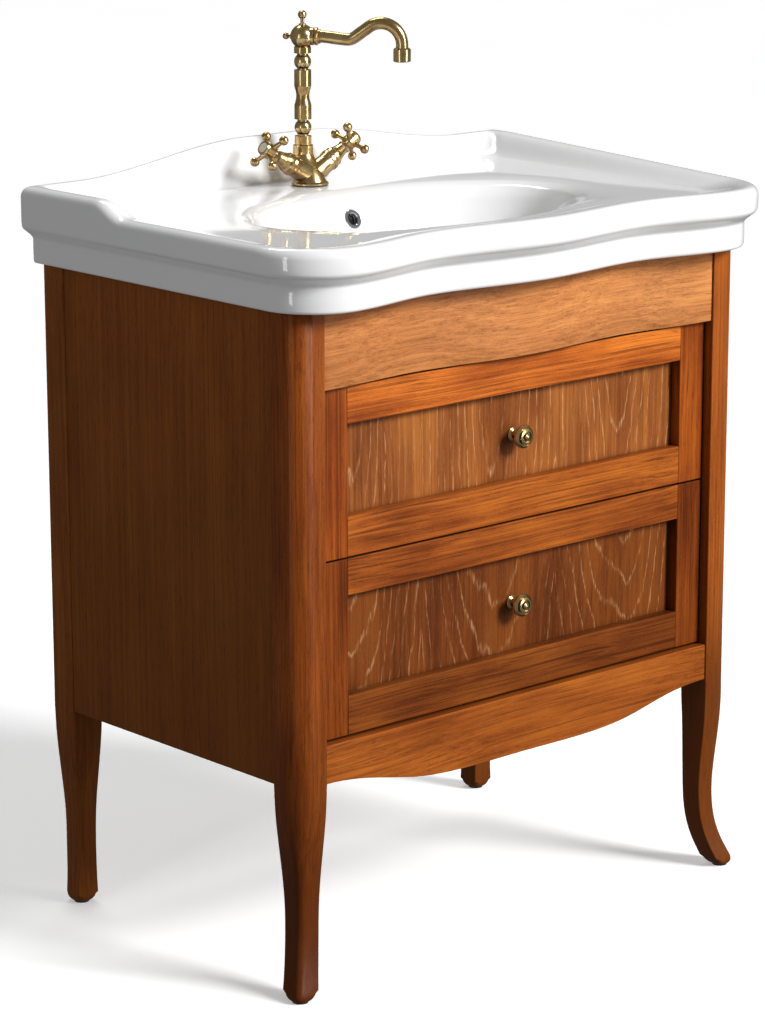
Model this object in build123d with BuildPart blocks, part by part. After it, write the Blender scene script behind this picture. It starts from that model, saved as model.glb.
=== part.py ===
"""Washbasin vanity: a two-drawer cabinet on legs, an inset basin and a one-hole mixer tap.

Millimetres. X runs to the right, -Y to the front, Z up. The origin is on the floor,
under the middle of the basin's outline, and the wall is at Y = WALL_Y.
"""

from build123d import *
from math import asin, cos, pi, radians, sin, sqrt, tan
import os

os.makedirs("parts", exist_ok=True)

# ---------------------------------------------------------------- overall sizes
BASIN_WIDTH = 750.0
BASIN_DEPTH = 500.0
CABINET_TOP = 778.0  # floor to the underside of the basin
LEG_HEIGHT = 246.0  # floor to the lower edge of the side panels
BAND_STEP = 16.0  # the basin's upper band stands this far over its lower one
SIDE_OVERHANG = 12.0  # of the basin's lower band over the cabinet
FRONT_OVERHANG = 34.0
CABINET_WIDTH = BASIN_WIDTH - 2 * (BAND_STEP + SIDE_OVERHANG)
CABINET_DEPTH = BASIN_DEPTH - BAND_STEP - FRONT_OVERHANG

WALL_Y = BASIN_DEPTH / 2
FRONT_Y = WALL_Y - CABINET_DEPTH
HALF_WIDTH = CABINET_WIDTH / 2

# ---------------------------------------------------------------- fits and clearances
DRAWER_GAP = 2.0  # shadow gap round each drawer front
RUNNER_GAP = 0.5  # between the nested members of a runner
SPIGOT_GAP = 0.05  # radial running clearance in the tap and the waste
SWIVEL_GAP = 0.3  # between faces that turn past each other
LINER_GAP = 20.0  # between the trap and the cut-out of the upper drawer

# ---------------------------------------------------------------- posts and legs
POST_WIDTH = 43.0
POST_DEPTH = 42.0
FRONT_POST_RADIUS = 25.0  # the rounded outer corner of a front post
REAR_POST_RADIUS = 8.0
ARRIS = 1.5  # eased edges of the joinery
GLIDE_HEIGHT = 2.5
GLIDE_RADIUS = 9.0
GLIDE_PIN_RADIUS = 2.0
GLIDE_PIN_LENGTH = 14.0

# Each leg station: share of the leg's height, side of the section, outward shift of its
# middle on a front leg, and radius of its outer corner.
LEG_STATIONS = (
    (0.96, 42.0, 0.0, 24.0),
    (0.88, 41.0, -0.2, 21.5),
    (0.80, 39.0, -0.5, 19.0),
    (0.62, 33.0, -2.5, 12.0),
    (0.45, 28.5, -4.0, 8.0),
    (0.34, 27.5, -3.5, 7.0),
    (0.23, 27.5, -0.5, 7.0),
    (0.13, 28.0, 5.5, 7.0),
    (0.05, 29.0, 12.5, 7.0),
)
TOE_SHIFT = 16.0

# Each toe station, down from the lowest leg station: height, side and corner radius.
TOE_STATIONS = (
    (9.5, 28.8, 8.0), (7.0, 27.8, 8.6), (5.0, 26.0, 9.0), (3.5, 23.6, 9.2), (GLIDE_HEIGHT, 21.0, 9.4),
)

# ---------------------------------------------------------------- cabinet boards
SIDE_THICKNESS = 18.0
SIDE_RECESS = 1.0  # side panels lie this far inside the posts' faces
TONGUE = 8.0  # tongues of the side panels in the posts
FASCIA_HEIGHT = 89.0
FASCIA_BOTTOM = CABINET_TOP - FASCIA_HEIGHT
FASCIA_THICKNESS = 30.0
FASCIA_END_RECESS = 3.0
FASCIA_DIP_RECESS = 13.5
FASCIA_DIP_X = 165.0
APRON_TOP = LEG_HEIGHT + 44.0
APRON_RECESS = 2.0
APRON_THICKNESS = 20.0
APRON_BELLY = 26.0  # how far its middle hangs under its ends
APRON_FLANK = (0.55, 0.80)  # shares of half the width and of the belly at its flank
REAR_RAIL_HEIGHT = 90.0
REAR_RAIL_THICKNESS = 18.0
REAR_RAIL_DROP = 30.0  # under the cabinet's top
WALL_SCREW_RADIUS = 3.5
WALL_SCREW_SPACING = 440.0
BOTTOM_BOARD_THICKNESS = 12.0
BOTTOM_BOARD_LIFT = 12.0  # over the lower edge of the side panels
CORNER_BLOCK = 36.0
CORNER_BLOCK_HEIGHT = 60.0

# ---------------------------------------------------------------- drawers
DRAWER_SPLIT_SHIFT = 5.5  # the lower drawer front is this much the taller, on each side
DRAWER_SPLIT = (APRON_TOP + FASCIA_BOTTOM) / 2 + DRAWER_SPLIT_SHIFT
DRAWER_RECESS = 12.5  # of the fronts behind the posts' faces
FRAME_THICKNESS = 24.0
STILE_WIDTH = 40.0
TOP_RAIL_HEIGHT = 42.0
BOTTOM_RAIL_HEIGHT = 45.0
PANEL_RECESS = 14.0
PANEL_THICKNESS = 6.0
PANEL_GROOVE = 6.0
BOX_SIDE_HEIGHT = 150.0
BOX_SIDE_THICKNESS = 12.0
BOX_BACK_Y = WALL_Y - 60.0  # rear end of the drawer boxes
BOX_LIFT = 12.0  # of the box over the lower edge of its front
BOX_BOTTOM_THICKNESS = 6.0
BOX_BOTTOM_LIFT = 12.0
BOX_GROOVE = 6.0
LINER_THICKNESS = 9.0

# ---------------------------------------------------------------- runners
RUNNER_SPACE = 13.0  # between the battens and the drawer sides
RUNNER_SHEET = 1.5
RUNNER_HEIGHT = 45.0
RUNNER_LENGTH = 350.0
RUNNER_LIFT = 60.0  # runner's middle over the lower edge of the box sides
BATTEN_HEIGHT = 60.0

# ---------------------------------------------------------------- knobs
KNOB_RADIUS = 13.5
KNOB_PROJECTION = 27.0
KNOB_SCREW_RADIUS = 2.0
KNOB_SCREW_HEAD_RADIUS = 4.5
KNOB_SCREW_HEAD = 2.5
KNOB_SCREW_GRIP = 9.0  # thread inside the knob

# A knob's outline, neck and ringed face: shares of its radius and of its projection.
KNOB_PROFILE = (
    (0.59, 0.0), (0.59, 0.07), (0.37, 0.15), (0.37, 0.52), (1.0, 0.65), (1.0, 0.76), (0.83, 0.85), (0.83, 0.81),
    (0.67, 0.81), (0.67, 0.91), (0.50, 0.93), (0.50, 0.87), (0.33, 0.87), (0.27, 0.96), (0.0, 1.0),
)

# ---------------------------------------------------------------- basin
LOWER_BAND = 44.0
BASIN_RIM = CABINET_TOP + 72.0
CORNER_RADIUS = 85.0
FRONT_DIP = 19.0  # serpentine front: dips behind its ends
FRONT_DIP_X = 175.0
FRONT_MIDDLE = 4.0  # middle behind its ends
WING_RISE = 18.0
SPLASH_RISE = 46.0
WING_FOOT_Y = WALL_Y - 186.0  # where the left wing starts to rise
WING_RAMP = 52.0
RIGHT_WING_FOOT_Y = WALL_Y - 430.0  # where the right wing starts its straight rise
SPLASH_FLAT_X = 45.0  # half width of the splashback's level crown
SPLASH_END_X = 305.0
SPLASH_THICKNESS = 28.0
RIM_DROP = 9.5  # rim to deck
RIM_SLOPE_WIDTH = 44.0
RIM_EDGE = 8.0
FRONT_SLOPE_WIDTH = 58.0
RAMP_STEPS = 6  # stations on the wings' rise
DECK_THICKNESS = 14.0
WALL_INSET = 34.0  # thickness of the hollow skirt that rests on the cabinet
BOWL_Y = -12.0
BOWL_HALF_LENGTH = 228.0
BOWL_HALF_DEPTH = 145.0
BOWL_DROP = 136.5
BOWL_WALL = 11.0

# Bowl stations: share of the bowl's depth and of its half length and half depth.
# The first three make its sloping shoulder.
BOWL_STATIONS = (
    (0.0, 1.0, 1.0), (0.05, 0.968, 0.915), (0.12, 0.935, 0.830), (0.35, 0.86, 0.725), (0.65, 0.69, 0.60), (0.88, 0.42, 0.44),
)
BOWL_FLOOR_RADIUS = 42.0
DRAIN_RADIUS = 23.0
TAP_HOLE_RADIUS = 17.5
OVERFLOW_DROP = 32.5  # under the deck
OVERFLOW_RADIUS = 9.0
OVERFLOW_DEPTH = 8.0
OVERFLOW_SEAT = 0.8  # depth of the ring's seat in the bowl's wall
OVERFLOW_TILT = 24.9  # degrees that the ring faces upward
OVERFLOW_RING_RADIUS = 12.4
OVERFLOW_RING_LIP = 2.0

DECK_Z = BASIN_RIM - RIM_DROP  # the deck's level floor
BOWL_FLOOR_Z = DECK_Z - BOWL_DROP
BOWL_UNDER_Z = BOWL_FLOOR_Z - BOWL_WALL

# ---------------------------------------------------------------- waste and trap
WASTE_FLANGE_RADIUS = 31.0
WASTE_FLANGE_THICKNESS = 2.5
WASTE_BODY_RADIUS = 21.0
WASTE_BORE_RADIUS = 18.5
WASTE_LENGTH = 78.0
WASTE_BRIDGE = 5.0
WASTE_BRIDGE_DROP = 22.0  # its top under the bowl's floor
WASTE_SOCKET = 14.0  # the tail's length in the trap
WASTE_NUT_RADIUS = 29.0
WASTE_NUT_HEIGHT = 12.0
PLUG_RADIUS = 20.0
PLUG_THICKNESS = 5.0
PLUG_STEM_RADIUS = 3.0
PLUG_STEM_LENGTH = 34.0
TRAP_RADIUS = 29.0
TRAP_HEAD_HEIGHT = 52.0
TRAP_CUP_HEIGHT = 70.0
TRAP_WALL = 3.0
OUTLET_RADIUS = 16.0
OUTLET_WALL = 1.5
OUTLET_SOCKET = 12.0
OUTLET_FREE_END = 30.0
OUTLET_BEAD = 2.0

# ---------------------------------------------------------------- tap
TAP_Y = WALL_Y - 72.5  # middle of the body and its shank
COLUMN_SETBACK = 12.5  # the column stands this far behind the body's middle
TAP_BASE_RADIUS = 22.5
TAP_BASE_HEIGHT = 5.5
TAP_BASE_EASE = 2.0
TAP_GASKET = 1.5
TAP_BODY_HEIGHT = 37.0
COLUMN_RADIUS = 10.2
COLUMN_COLLAR_RADIUS = 12.2
COLUMN_COLLAR = 11.0
COLUMN_COLLAR_EASE = 1.2
COLUMN_RING = 10.0  # height of the ring over the collar
BEAD_RADIUS = 10.2
BEAD_NECK_RADIUS = 6.6
BEAD_NECK = 2.0  # height of the neck on either side of a bead
BEAD_STEPS = 12
COLUMN_TOP = 156.3
FIXING_HOLE_RADIUS = 2.3  # blind screw hole in the front of the body
FIXING_HOLE_HEIGHT = 21.7
FIXING_HOLE_FLOOR = 9.0  # in front of the body's middle

# Body stations over its base: height over the deck, radius, share of the column's setback.
TAP_BODY_STATIONS = ((TAP_BASE_HEIGHT, 20.0, 0.0), (11.0, 17.8, 0.05), (20.0, 15.6, 0.35), (29.0, 13.4, 0.75))

# The column's baluster: radius, and height over the column's foot.
BALUSTER = ((10.2, 41.0), (10.2, 57.5), (8.0, 65.5), (7.8, 70.0), (8.3, 73.5), (10.2, 80.5), (10.2, 99.6))

HEAD_RADIUS = 14.3
HEAD_HEIGHT = 176.3  # centre of the ball over the deck
HEAD_COLLAR = 7.0
FINIAL_SEAT = HEAD_RADIUS - 1.0  # flats on the ball under its finials
FINIAL_STEMS = (7.0, 2.5)
FINIAL_RADII = (5.2, 4.0)
FINIAL_FOOT_HEIGHT = 1.5
FINIAL_FOOT_SHARE = 0.85  # shares of the finial's radius
FINIAL_STEM_SHARE = 0.45
SPIGOT_RADIUS = 4.5
SPIGOT_LENGTH = 15.0
SPOUT_RADIUS = 7.3
SPOUT_BORE = 5.4
SPOUT_REACH = 119.5
SPOUT_TURN = 40.0  # degrees from the front, towards +X, at rest
SPOUT_START = 21.5  # the boss's end, from the head's middle
SPOUT_STUB = 3.0  # level length at the head
SPOUT_LEVEL = 58.0  # distance at which it starts to climb
SPOUT_CLIMB = 36.0  # degrees
SPOUT_FOOT_BEND = 16.0
SPOUT_CROWN_BEND = 25.0
SPOUT_DIP = 4.0
NOZZLE_RADIUS = 10.4
NOZZLE_LENGTH = 16.5
NOZZLE_DROP = 12.2  # its top under the level part's axis
NOZZLE_MOUTH_RADIUS = 7.4
NOZZLE_FLOOR = 3.0  # thickness of its top

# Turned outlines as (radius, distance): the head's boss from its middle, the nozzle from its top.
BOSS_PROFILE = (
    (10.5, 8.6), (10.5, 13.6), (9.3, 14.6), (10.5, 15.7), (10.5, 17.9), (8.5, 19.3), (8.5, SPOUT_START),
)
NOZZLE_PROFILE = ((8.4, 0.0), (NOZZLE_RADIUS, 1.5), (NOZZLE_RADIUS, NOZZLE_LENGTH - 1.0), (9.4, NOZZLE_LENGTH))
VALVE_TILT = 30.0  # degrees above level
VALVE_FOOT = 9.6  # height of the valve axes over the deck at the body's middle
VALVE_ARM_RADIUS = 12.3
VALVE_ARM_LENGTH = 39.0
BONNET_LENGTH = 20.0
BONNET_TIP_RADIUS = 7.2

# Arm stations: radius, and share of its length. Bonnet stations: radius, and share of its own.
VALVE_ARM_PROFILE = (
    (12.8, 0.0), (12.8, 0.40), (12.0, 0.68), (VALVE_ARM_RADIUS, 0.80), (13.3, 0.84), (13.3, 0.93), (VALVE_ARM_RADIUS, 1.0),
)
BONNET_PROFILE = (
    (BONNET_TIP_RADIUS, 1.0), (9.0, 0.55), (9.6, 0.50), (11.0, 0.28), (11.6, 0.24), (VALVE_ARM_RADIUS, 0.18), (VALVE_ARM_RADIUS, 0.0),
)
SPINDLE_RADIUS = 4.5
SPINDLE_LENGTH = 8.0
HUB_RADIUS = 9.3
HUB_LENGTH = 25.0
CROSS_REACH = 23.5
CROSS_HEIGHT = 13.8  # of the arms over the hub's start
CROSS_ROOT_RADIUS = 3.6
CROSS_ARM_RADIUS = 2.5
CROSS_BALL_RADIUS = 5.7
CROSS_TURNS = {"left": 42.0, "right": 21.0}  # degrees of each cross at rest
INDEX_RADIUS = 6.2
INDEX_THICKNESS = 1.0

# Hub stations: radius, and height over the hub's start.
HUB_PROFILE = (
    (BONNET_TIP_RADIUS, 0.0), (8.2, 2.5), (6.0, 5.0), (8.3, 8.0), (HUB_RADIUS, 10.0), (HUB_RADIUS, 21.5), (8.5, 22.0),
    (9.1, 22.6), (8.3, HUB_LENGTH),
)
INLET_RADIUS = 4.75
INLET_LENGTH = 12.0
INLET_SPACING = 18.0
TAP_SHANK_RADIUS = 16.0
TAP_SHANK_LENGTH = 42.0
TAP_NUT_RADIUS = 27.0
TAP_NUT_HEIGHT = 11.0


# ================================================================ helpers
def save(builder, name):
    """Label a finished piece and write it under its own name."""
    builder.part.label = name
    export_step(builder.part, f"parts/{name}.step")


def smooth_step(share):
    """A level-ended S from 0 to 1."""
    return (1 - cos(pi * min(max(share, 0.0), 1.0))) / 2


def side_name(side):
    return "left" if side < 0 else "right"


def block(low, high, mode=Mode.ADD):
    """Add or cut a box in the active part, from its low and high corners."""
    size = [b - a for a, b in zip(low, high)]
    middle = [(a + b) / 2 for a, b in zip(low, high)]
    with Locations(tuple(middle)):
        Box(*size, mode=mode)


def mirrored_block(low, high, mode=Mode.ADD):
    """The same box on both sides of the cabinet's middle."""
    block(low, high, mode)
    block((-high[0], low[1], low[2]), (-low[0], high[1], high[2]), mode)


def turning_plane(axis_plane):
    """Plane whose X is a radius and whose Y runs along axis_plane's Z, for turned outlines."""
    return Plane(axis_plane.origin, x_dir=axis_plane.x_dir, z_dir=-axis_plane.y_dir)


def turn(axis_plane, outline, mode=Mode.ADD):
    """Revolve an outline of (radius, height) points, closed on itself, about axis_plane's Z."""
    with BuildSketch(turning_plane(axis_plane)) as section:
        with BuildLine():
            Polyline(*outline, close=True)
        make_face()
    revolve(section.sketch, axis=Axis(axis_plane.origin, axis_plane.z_dir), mode=mode)


def ball(centre, radius):
    with Locations(centre):
        Sphere(radius)


def rod(axis_plane, start, end, radius, mode=Mode.ADD):
    """A cylinder along axis_plane's Z between two heights."""
    with BuildSketch(axis_plane.offset(start)) as section:
        Circle(radius)
    extrude(section.sketch, amount=end - start, mode=mode)


def ball_ended_rod(axis_plane, start, reach, radii):
    """A rod along axis_plane's Z with a ball centred at its reach, turned in one piece.

    radii are the rod's at its start and at the ball, and the ball's.
    """
    root_radius, rod_radius, ball_radius = radii
    neck = reach - sqrt(ball_radius**2 - rod_radius**2)
    with BuildSketch(turning_plane(axis_plane)) as section:
        with BuildLine():
            Polyline((0, reach + ball_radius), (0, start), (root_radius, start), (rod_radius, neck))
            ThreePointArc((rod_radius, neck), (ball_radius, reach), (0, reach + ball_radius))
        make_face()
    revolve(section.sketch, axis=Axis(axis_plane.origin, axis_plane.z_dir))


# ================================================================ cabinet
TONGUE_X = HALF_WIDTH - SIDE_RECESS - SIDE_THICKNESS / 2  # middle of the side panels
INNER_X = HALF_WIDTH - POST_WIDTH  # inner faces of the posts
PANEL_INNER_X = HALF_WIDTH - SIDE_RECESS - SIDE_THICKNESS
FRONT_POST_BACK_Y = FRONT_Y + POST_DEPTH
REAR_POST_FRONT_Y = WALL_Y - POST_DEPTH


def span(side, near, far):
    """X limits of something between two distances from the middle, on one side."""
    return sorted((side * near, side * far))


def side_block(side, near, far, y_low, y_high, z_low, z_high, mode=Mode.ADD):
    x_low, x_high = span(side, near, far)
    block((x_low, y_low, z_low), (x_high, y_high, z_high), mode)


def leg_section(centre, height, width, depth, radii, side, facing):
    """Section of a post or leg, with its outer corner's radius and that of its other three.

    facing is -1 on a front post and 1 on a rear one.
    """
    x, y = side * width / 2, facing * depth / 2
    outer, inner = radii
    with BuildSketch(Plane((centre[0], centre[1], height))) as section:
        with BuildLine():
            FilletPolyline(
                (x, y), (-x, y), (-x, -y), (x, -y),
                radius=(outer, inner, inner, inner),
                close=True,
            )
        make_face()
    return section.sketch


def make_post(side, facing):
    """A post that runs down into its leg. Front legs kick outward, rear legs stay straight."""
    outer_radius = FRONT_POST_RADIUS if facing < 0 else REAR_POST_RADIUS
    outer_y = FRONT_Y if facing < 0 else WALL_Y
    inner_y = outer_y - facing * POST_DEPTH
    x, y = side * (HALF_WIDTH - POST_WIDTH / 2), (outer_y + inner_y) / 2
    kick = 1 if facing < 0 else 0

    def shifted(shift):
        return (x + kick * side * shift, y + kick * facing * shift)

    radii = (outer_radius, ARRIS)
    post_section = leg_section((x, y), LEG_HEIGHT, POST_WIDTH, POST_DEPTH, radii, side, facing)
    sections = [post_section]
    for share, size, shift, radius in LEG_STATIONS:
        radii = (min(radius, outer_radius), ARRIS)
        sections.append(leg_section(shifted(shift), share * LEG_HEIGHT, size, size, radii, side, facing))
    foot_z, foot_shift = share * LEG_HEIGHT, shift
    toe_sections = [sections[-1]]
    for height, size, radius in TOE_STATIONS:
        out = TOE_SHIFT + (foot_shift - TOE_SHIFT) * (height - GLIDE_HEIGHT) / (foot_z - GLIDE_HEIGHT)
        toe_sections.append(leg_section(shifted(out), height, size, size, (radius, radius), side, facing))
    with BuildPart() as post:
        extrude(post_section, amount=CABINET_TOP - LEG_HEIGHT)
        loft(sections)
        loft(toe_sections, ruled=True)
        with BuildSketch(Plane((*shifted(TOE_SHIFT), GLIDE_HEIGHT))):
            Circle(GLIDE_PIN_RADIUS)
        extrude(amount=GLIDE_PIN_LENGTH, mode=Mode.SUBTRACT)
        groove = sorted((inner_y, inner_y + facing * TONGUE))
        side_block(side, TONGUE_X - TONGUE / 2, TONGUE_X + TONGUE / 2, *groove,
                   LEG_HEIGHT, CABINET_TOP, mode=Mode.SUBTRACT)
    return post, shifted(TOE_SHIFT)


def make_glides(places):
    """A nailed glide under each leg."""
    with BuildPart() as glides:
        for place in places:
            with BuildSketch(Plane((*place, 0))):
                Circle(GLIDE_RADIUS)
            extrude(amount=GLIDE_HEIGHT)
            with BuildSketch(Plane((*place, GLIDE_HEIGHT))):
                Circle(GLIDE_PIN_RADIUS)
            extrude(amount=GLIDE_PIN_LENGTH)
    return glides


def make_side_panel(side):
    with BuildPart() as panel:
        side_block(side, PANEL_INNER_X, HALF_WIDTH - SIDE_RECESS, FRONT_POST_BACK_Y, REAR_POST_FRONT_Y,
                   LEG_HEIGHT, CABINET_TOP)
        side_block(side, TONGUE_X - TONGUE / 2, TONGUE_X + TONGUE / 2, FRONT_POST_BACK_Y - TONGUE,
                   REAR_POST_FRONT_Y + TONGUE, LEG_HEIGHT, CABINET_TOP)
    return panel


def serpentine(end_x, end_y, dip_x, dip_y, middle_y):
    """A front that is forward at its ends and middle, and dips between them."""
    points = ((-end_x, end_y), (-dip_x, dip_y), (0, middle_y), (dip_x, dip_y), (end_x, end_y))
    return Spline(*points, tangents=((1, 0), (1, 0)))


def make_fascia():
    end_y = FRONT_Y + FASCIA_END_RECESS
    back_y = FRONT_Y + FASCIA_THICKNESS
    with BuildPart() as fascia:
        with BuildSketch(Plane.XY.offset(FASCIA_BOTTOM)):
            with BuildLine():
                serpentine(INNER_X, end_y, FASCIA_DIP_X, FRONT_Y + FASCIA_DIP_RECESS, FRONT_Y)
                Polyline((INNER_X, end_y), (INNER_X, back_y), (-INNER_X, back_y), (-INNER_X, end_y))
            make_face()
        extrude(amount=CABINET_TOP - FASCIA_BOTTOM)
    return fascia


def make_apron():
    """A flat board whose lower edge hangs in a belly between level ends."""
    flank_x = INNER_X * APRON_FLANK[0]
    flank_z = LEG_HEIGHT - APRON_BELLY * APRON_FLANK[1]
    plane = Plane((0, FRONT_Y + APRON_RECESS, 0), x_dir=(1, 0, 0), z_dir=(0, -1, 0))
    with BuildPart() as apron:
        with BuildSketch(plane):
            with BuildLine():
                Polyline((INNER_X, LEG_HEIGHT), (INNER_X, APRON_TOP), (-INNER_X, APRON_TOP), (-INNER_X, LEG_HEIGHT))
                Spline(
                    (-INNER_X, LEG_HEIGHT), (-flank_x, flank_z), (0, LEG_HEIGHT - APRON_BELLY),
                    (flank_x, flank_z), (INNER_X, LEG_HEIGHT),
                    tangents=((1, 0), (1, 0)),
                )
            make_face()
        extrude(amount=-APRON_THICKNESS)
    return apron


def make_rear_rail():
    top = CABINET_TOP - REAR_RAIL_DROP
    with BuildPart() as rail:
        block((-INNER_X, WALL_Y - REAR_RAIL_THICKNESS, top - REAR_RAIL_HEIGHT), (INNER_X, WALL_Y, top))
        middle_z = top - REAR_RAIL_HEIGHT / 2
        with BuildSketch(Plane((0, WALL_Y, middle_z), x_dir=(1, 0, 0), z_dir=(0, -1, 0))):
            with GridLocations(WALL_SCREW_SPACING, 0, 2, 1):
                Circle(WALL_SCREW_RADIUS)
        extrude(amount=REAR_RAIL_THICKNESS, mode=Mode.SUBTRACT)
    return rail


def make_bottom_board():
    low = LEG_HEIGHT + BOTTOM_BOARD_LIFT
    high = low + BOTTOM_BOARD_THICKNESS
    with BuildPart() as board:
        block((-INNER_X, FRONT_Y + APRON_RECESS + APRON_THICKNESS, low), (INNER_X, WALL_Y, high))
        block((-PANEL_INNER_X, FRONT_POST_BACK_Y, low), (PANEL_INNER_X, REAR_POST_FRONT_Y, high))
    return board


def make_corner_blocks():
    """Triangular blocks in the corners behind the fascia and in front of the rear rail."""
    low = CABINET_TOP - CORNER_BLOCK_HEIGHT
    with BuildPart() as blocks:
        for side in (-1, 1):
            for facing, wall_y in ((-1, FRONT_POST_BACK_Y), (1, REAR_POST_FRONT_Y)):
                with BuildSketch(Plane.XY.offset(low)):
                    with BuildLine():
                        Polyline(
                            (side * PANEL_INNER_X, wall_y),
                            (side * PANEL_INNER_X, wall_y - facing * CORNER_BLOCK),
                            (side * INNER_X, wall_y),
                            close=True,
                        )
                    make_face()
                extrude(amount=CORNER_BLOCK_HEIGHT)
    return blocks


# ================================================================ drawers
FRONT_LOW_Y = FRONT_Y + DRAWER_RECESS  # visible face of the drawer fronts
FRAME_BACK_Y = FRONT_LOW_Y + FRAME_THICKNESS
PANEL_Y = FRONT_LOW_Y + PANEL_RECESS
FRONT_HALF = INNER_X - DRAWER_GAP
BOX_HALF = INNER_X - RUNNER_SPACE  # outer faces of the drawer sides
DRAWERS = {
    "lower": (APRON_TOP + DRAWER_GAP, DRAWER_SPLIT - DRAWER_GAP / 2),
    "upper": (DRAWER_SPLIT + DRAWER_GAP / 2, FASCIA_BOTTOM - DRAWER_GAP),
}


def panel_groove(low, high, mode):
    """The slab that the recessed panel fills, grooves included."""
    reach = FRONT_HALF - STILE_WIDTH + PANEL_GROOVE
    block(
        (-reach, PANEL_Y, low + BOTTOM_RAIL_HEIGHT - PANEL_GROOVE),
        (reach, PANEL_Y + PANEL_THICKNESS, high - TOP_RAIL_HEIGHT + PANEL_GROOVE),
        mode,
    )


def make_stiles(low, high):
    reach = FRONT_HALF - STILE_WIDTH + PANEL_GROOVE
    with BuildPart() as stiles:
        mirrored_block((FRONT_HALF - STILE_WIDTH, FRONT_LOW_Y, low), (FRONT_HALF, FRAME_BACK_Y, high))
        chamfer(stiles.edges().filter_by(Axis.Z).group_by(Axis.Y)[0], ARRIS / 2)
        block((-reach, PANEL_Y, low), (reach, PANEL_Y + PANEL_THICKNESS, high), Mode.SUBTRACT)
    return stiles


def make_rail(low, high, edge_low, edge_high):
    """A rail between the stiles, from edge_low to edge_high, tongued into their grooves."""
    half = FRONT_HALF - STILE_WIDTH
    with BuildPart() as rail:
        block((-half, FRONT_LOW_Y, edge_low), (half, FRAME_BACK_Y, edge_high))
        chamfer(rail.edges().filter_by(Axis.X).group_by(Axis.Y)[0], ARRIS / 2)
        block((-half - PANEL_GROOVE, PANEL_Y, edge_low), (half + PANEL_GROOVE, PANEL_Y + PANEL_THICKNESS, edge_high))
        panel_groove(low, high, Mode.SUBTRACT)
    return rail


def make_front_panel(low, high):
    with BuildPart() as panel:
        panel_groove(low, high, Mode.ADD)
        with BuildSketch(knob_plane(low, high)):
            Circle(KNOB_SCREW_RADIUS)
        extrude(amount=-PANEL_THICKNESS, mode=Mode.SUBTRACT)
    return panel


def knob_plane(low, high):
    """Plane on the face of a recessed panel, at its middle, facing the front."""
    middle_z = (low + BOTTOM_RAIL_HEIGHT + high - TOP_RAIL_HEIGHT) / 2
    return Plane((0, PANEL_Y, middle_z), x_dir=(1, 0, 0), z_dir=(0, -1, 0))


def make_box_sides(box_low):
    with BuildPart() as sides:
        mirrored_block(
            (BOX_HALF - BOX_SIDE_THICKNESS, FRAME_BACK_Y, box_low),
            (BOX_HALF, BOX_BACK_Y, box_low + BOX_SIDE_HEIGHT),
        )
        groove_x = BOX_HALF - BOX_SIDE_THICKNESS + BOX_GROOVE
        block(
            (-groove_x, FRAME_BACK_Y, box_low + BOX_BOTTOM_LIFT),
            (groove_x, BOX_BACK_Y, box_low + BOX_BOTTOM_LIFT + BOX_BOTTOM_THICKNESS),
            Mode.SUBTRACT,
        )
    return sides


LINER_HALF = TRAP_RADIUS + LINER_GAP + LINER_THICKNESS
LINER_FRONT_Y = BOWL_Y - LINER_HALF


def make_box_bottom(box_low, notched):
    groove_x = BOX_HALF - BOX_SIDE_THICKNESS + BOX_GROOVE
    low = box_low + BOX_BOTTOM_LIFT
    high = low + BOX_BOTTOM_THICKNESS
    with BuildPart() as bottom:
        block((-groove_x, FRAME_BACK_Y, low), (groove_x, BOX_BACK_Y, high))
        if notched:
            block((-LINER_HALF, LINER_FRONT_Y, low), (LINER_HALF, BOX_BACK_Y, high), Mode.SUBTRACT)
    return bottom


def make_box_back(box_low, notched):
    half = BOX_HALF - BOX_SIDE_THICKNESS
    low = box_low + BOX_BOTTOM_LIFT + BOX_BOTTOM_THICKNESS
    high = box_low + BOX_SIDE_HEIGHT
    with BuildPart() as back:
        block((-half, BOX_BACK_Y - BOX_SIDE_THICKNESS, low), (half, BOX_BACK_Y, high))
        if notched:
            block(
                (-LINER_HALF, BOX_BACK_Y - BOX_SIDE_THICKNESS, low),
                (LINER_HALF, BOX_BACK_Y, high),
                Mode.SUBTRACT,
            )
    return back


def make_liner(box_low):
    """The U-shaped wall that keeps the upper drawer's contents off the trap."""
    low, high = box_low + BOX_BOTTOM_LIFT, box_low + BOX_SIDE_HEIGHT
    inner = LINER_HALF - LINER_THICKNESS
    with BuildPart() as liner:
        block((-LINER_HALF, LINER_FRONT_Y, low), (LINER_HALF, BOX_BACK_Y, high))
        block((-inner, LINER_FRONT_Y + LINER_THICKNESS, low), (inner, BOX_BACK_Y, high), Mode.SUBTRACT)
    return liner


def make_knob(plane):
    """A turned knob with a ringed face."""
    outline = [(KNOB_SCREW_RADIUS, 0)]
    outline += [(KNOB_RADIUS * out, KNOB_PROJECTION * up) for out, up in KNOB_PROFILE]
    outline += [(0, KNOB_SCREW_GRIP), (KNOB_SCREW_RADIUS, KNOB_SCREW_GRIP)]
    with BuildPart() as knob:
        turn(plane, outline)
    return knob


def make_knob_screw(plane):
    with BuildPart() as screw:
        rod(plane, -PANEL_THICKNESS - KNOB_SCREW_HEAD, -PANEL_THICKNESS, KNOB_SCREW_HEAD_RADIUS)
        rod(plane, -PANEL_THICKNESS, KNOB_SCREW_GRIP, KNOB_SCREW_RADIUS)
    return screw


# ================================================================ runners
RUNNER_Y = FRAME_BACK_Y + RUNNER_GAP


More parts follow.
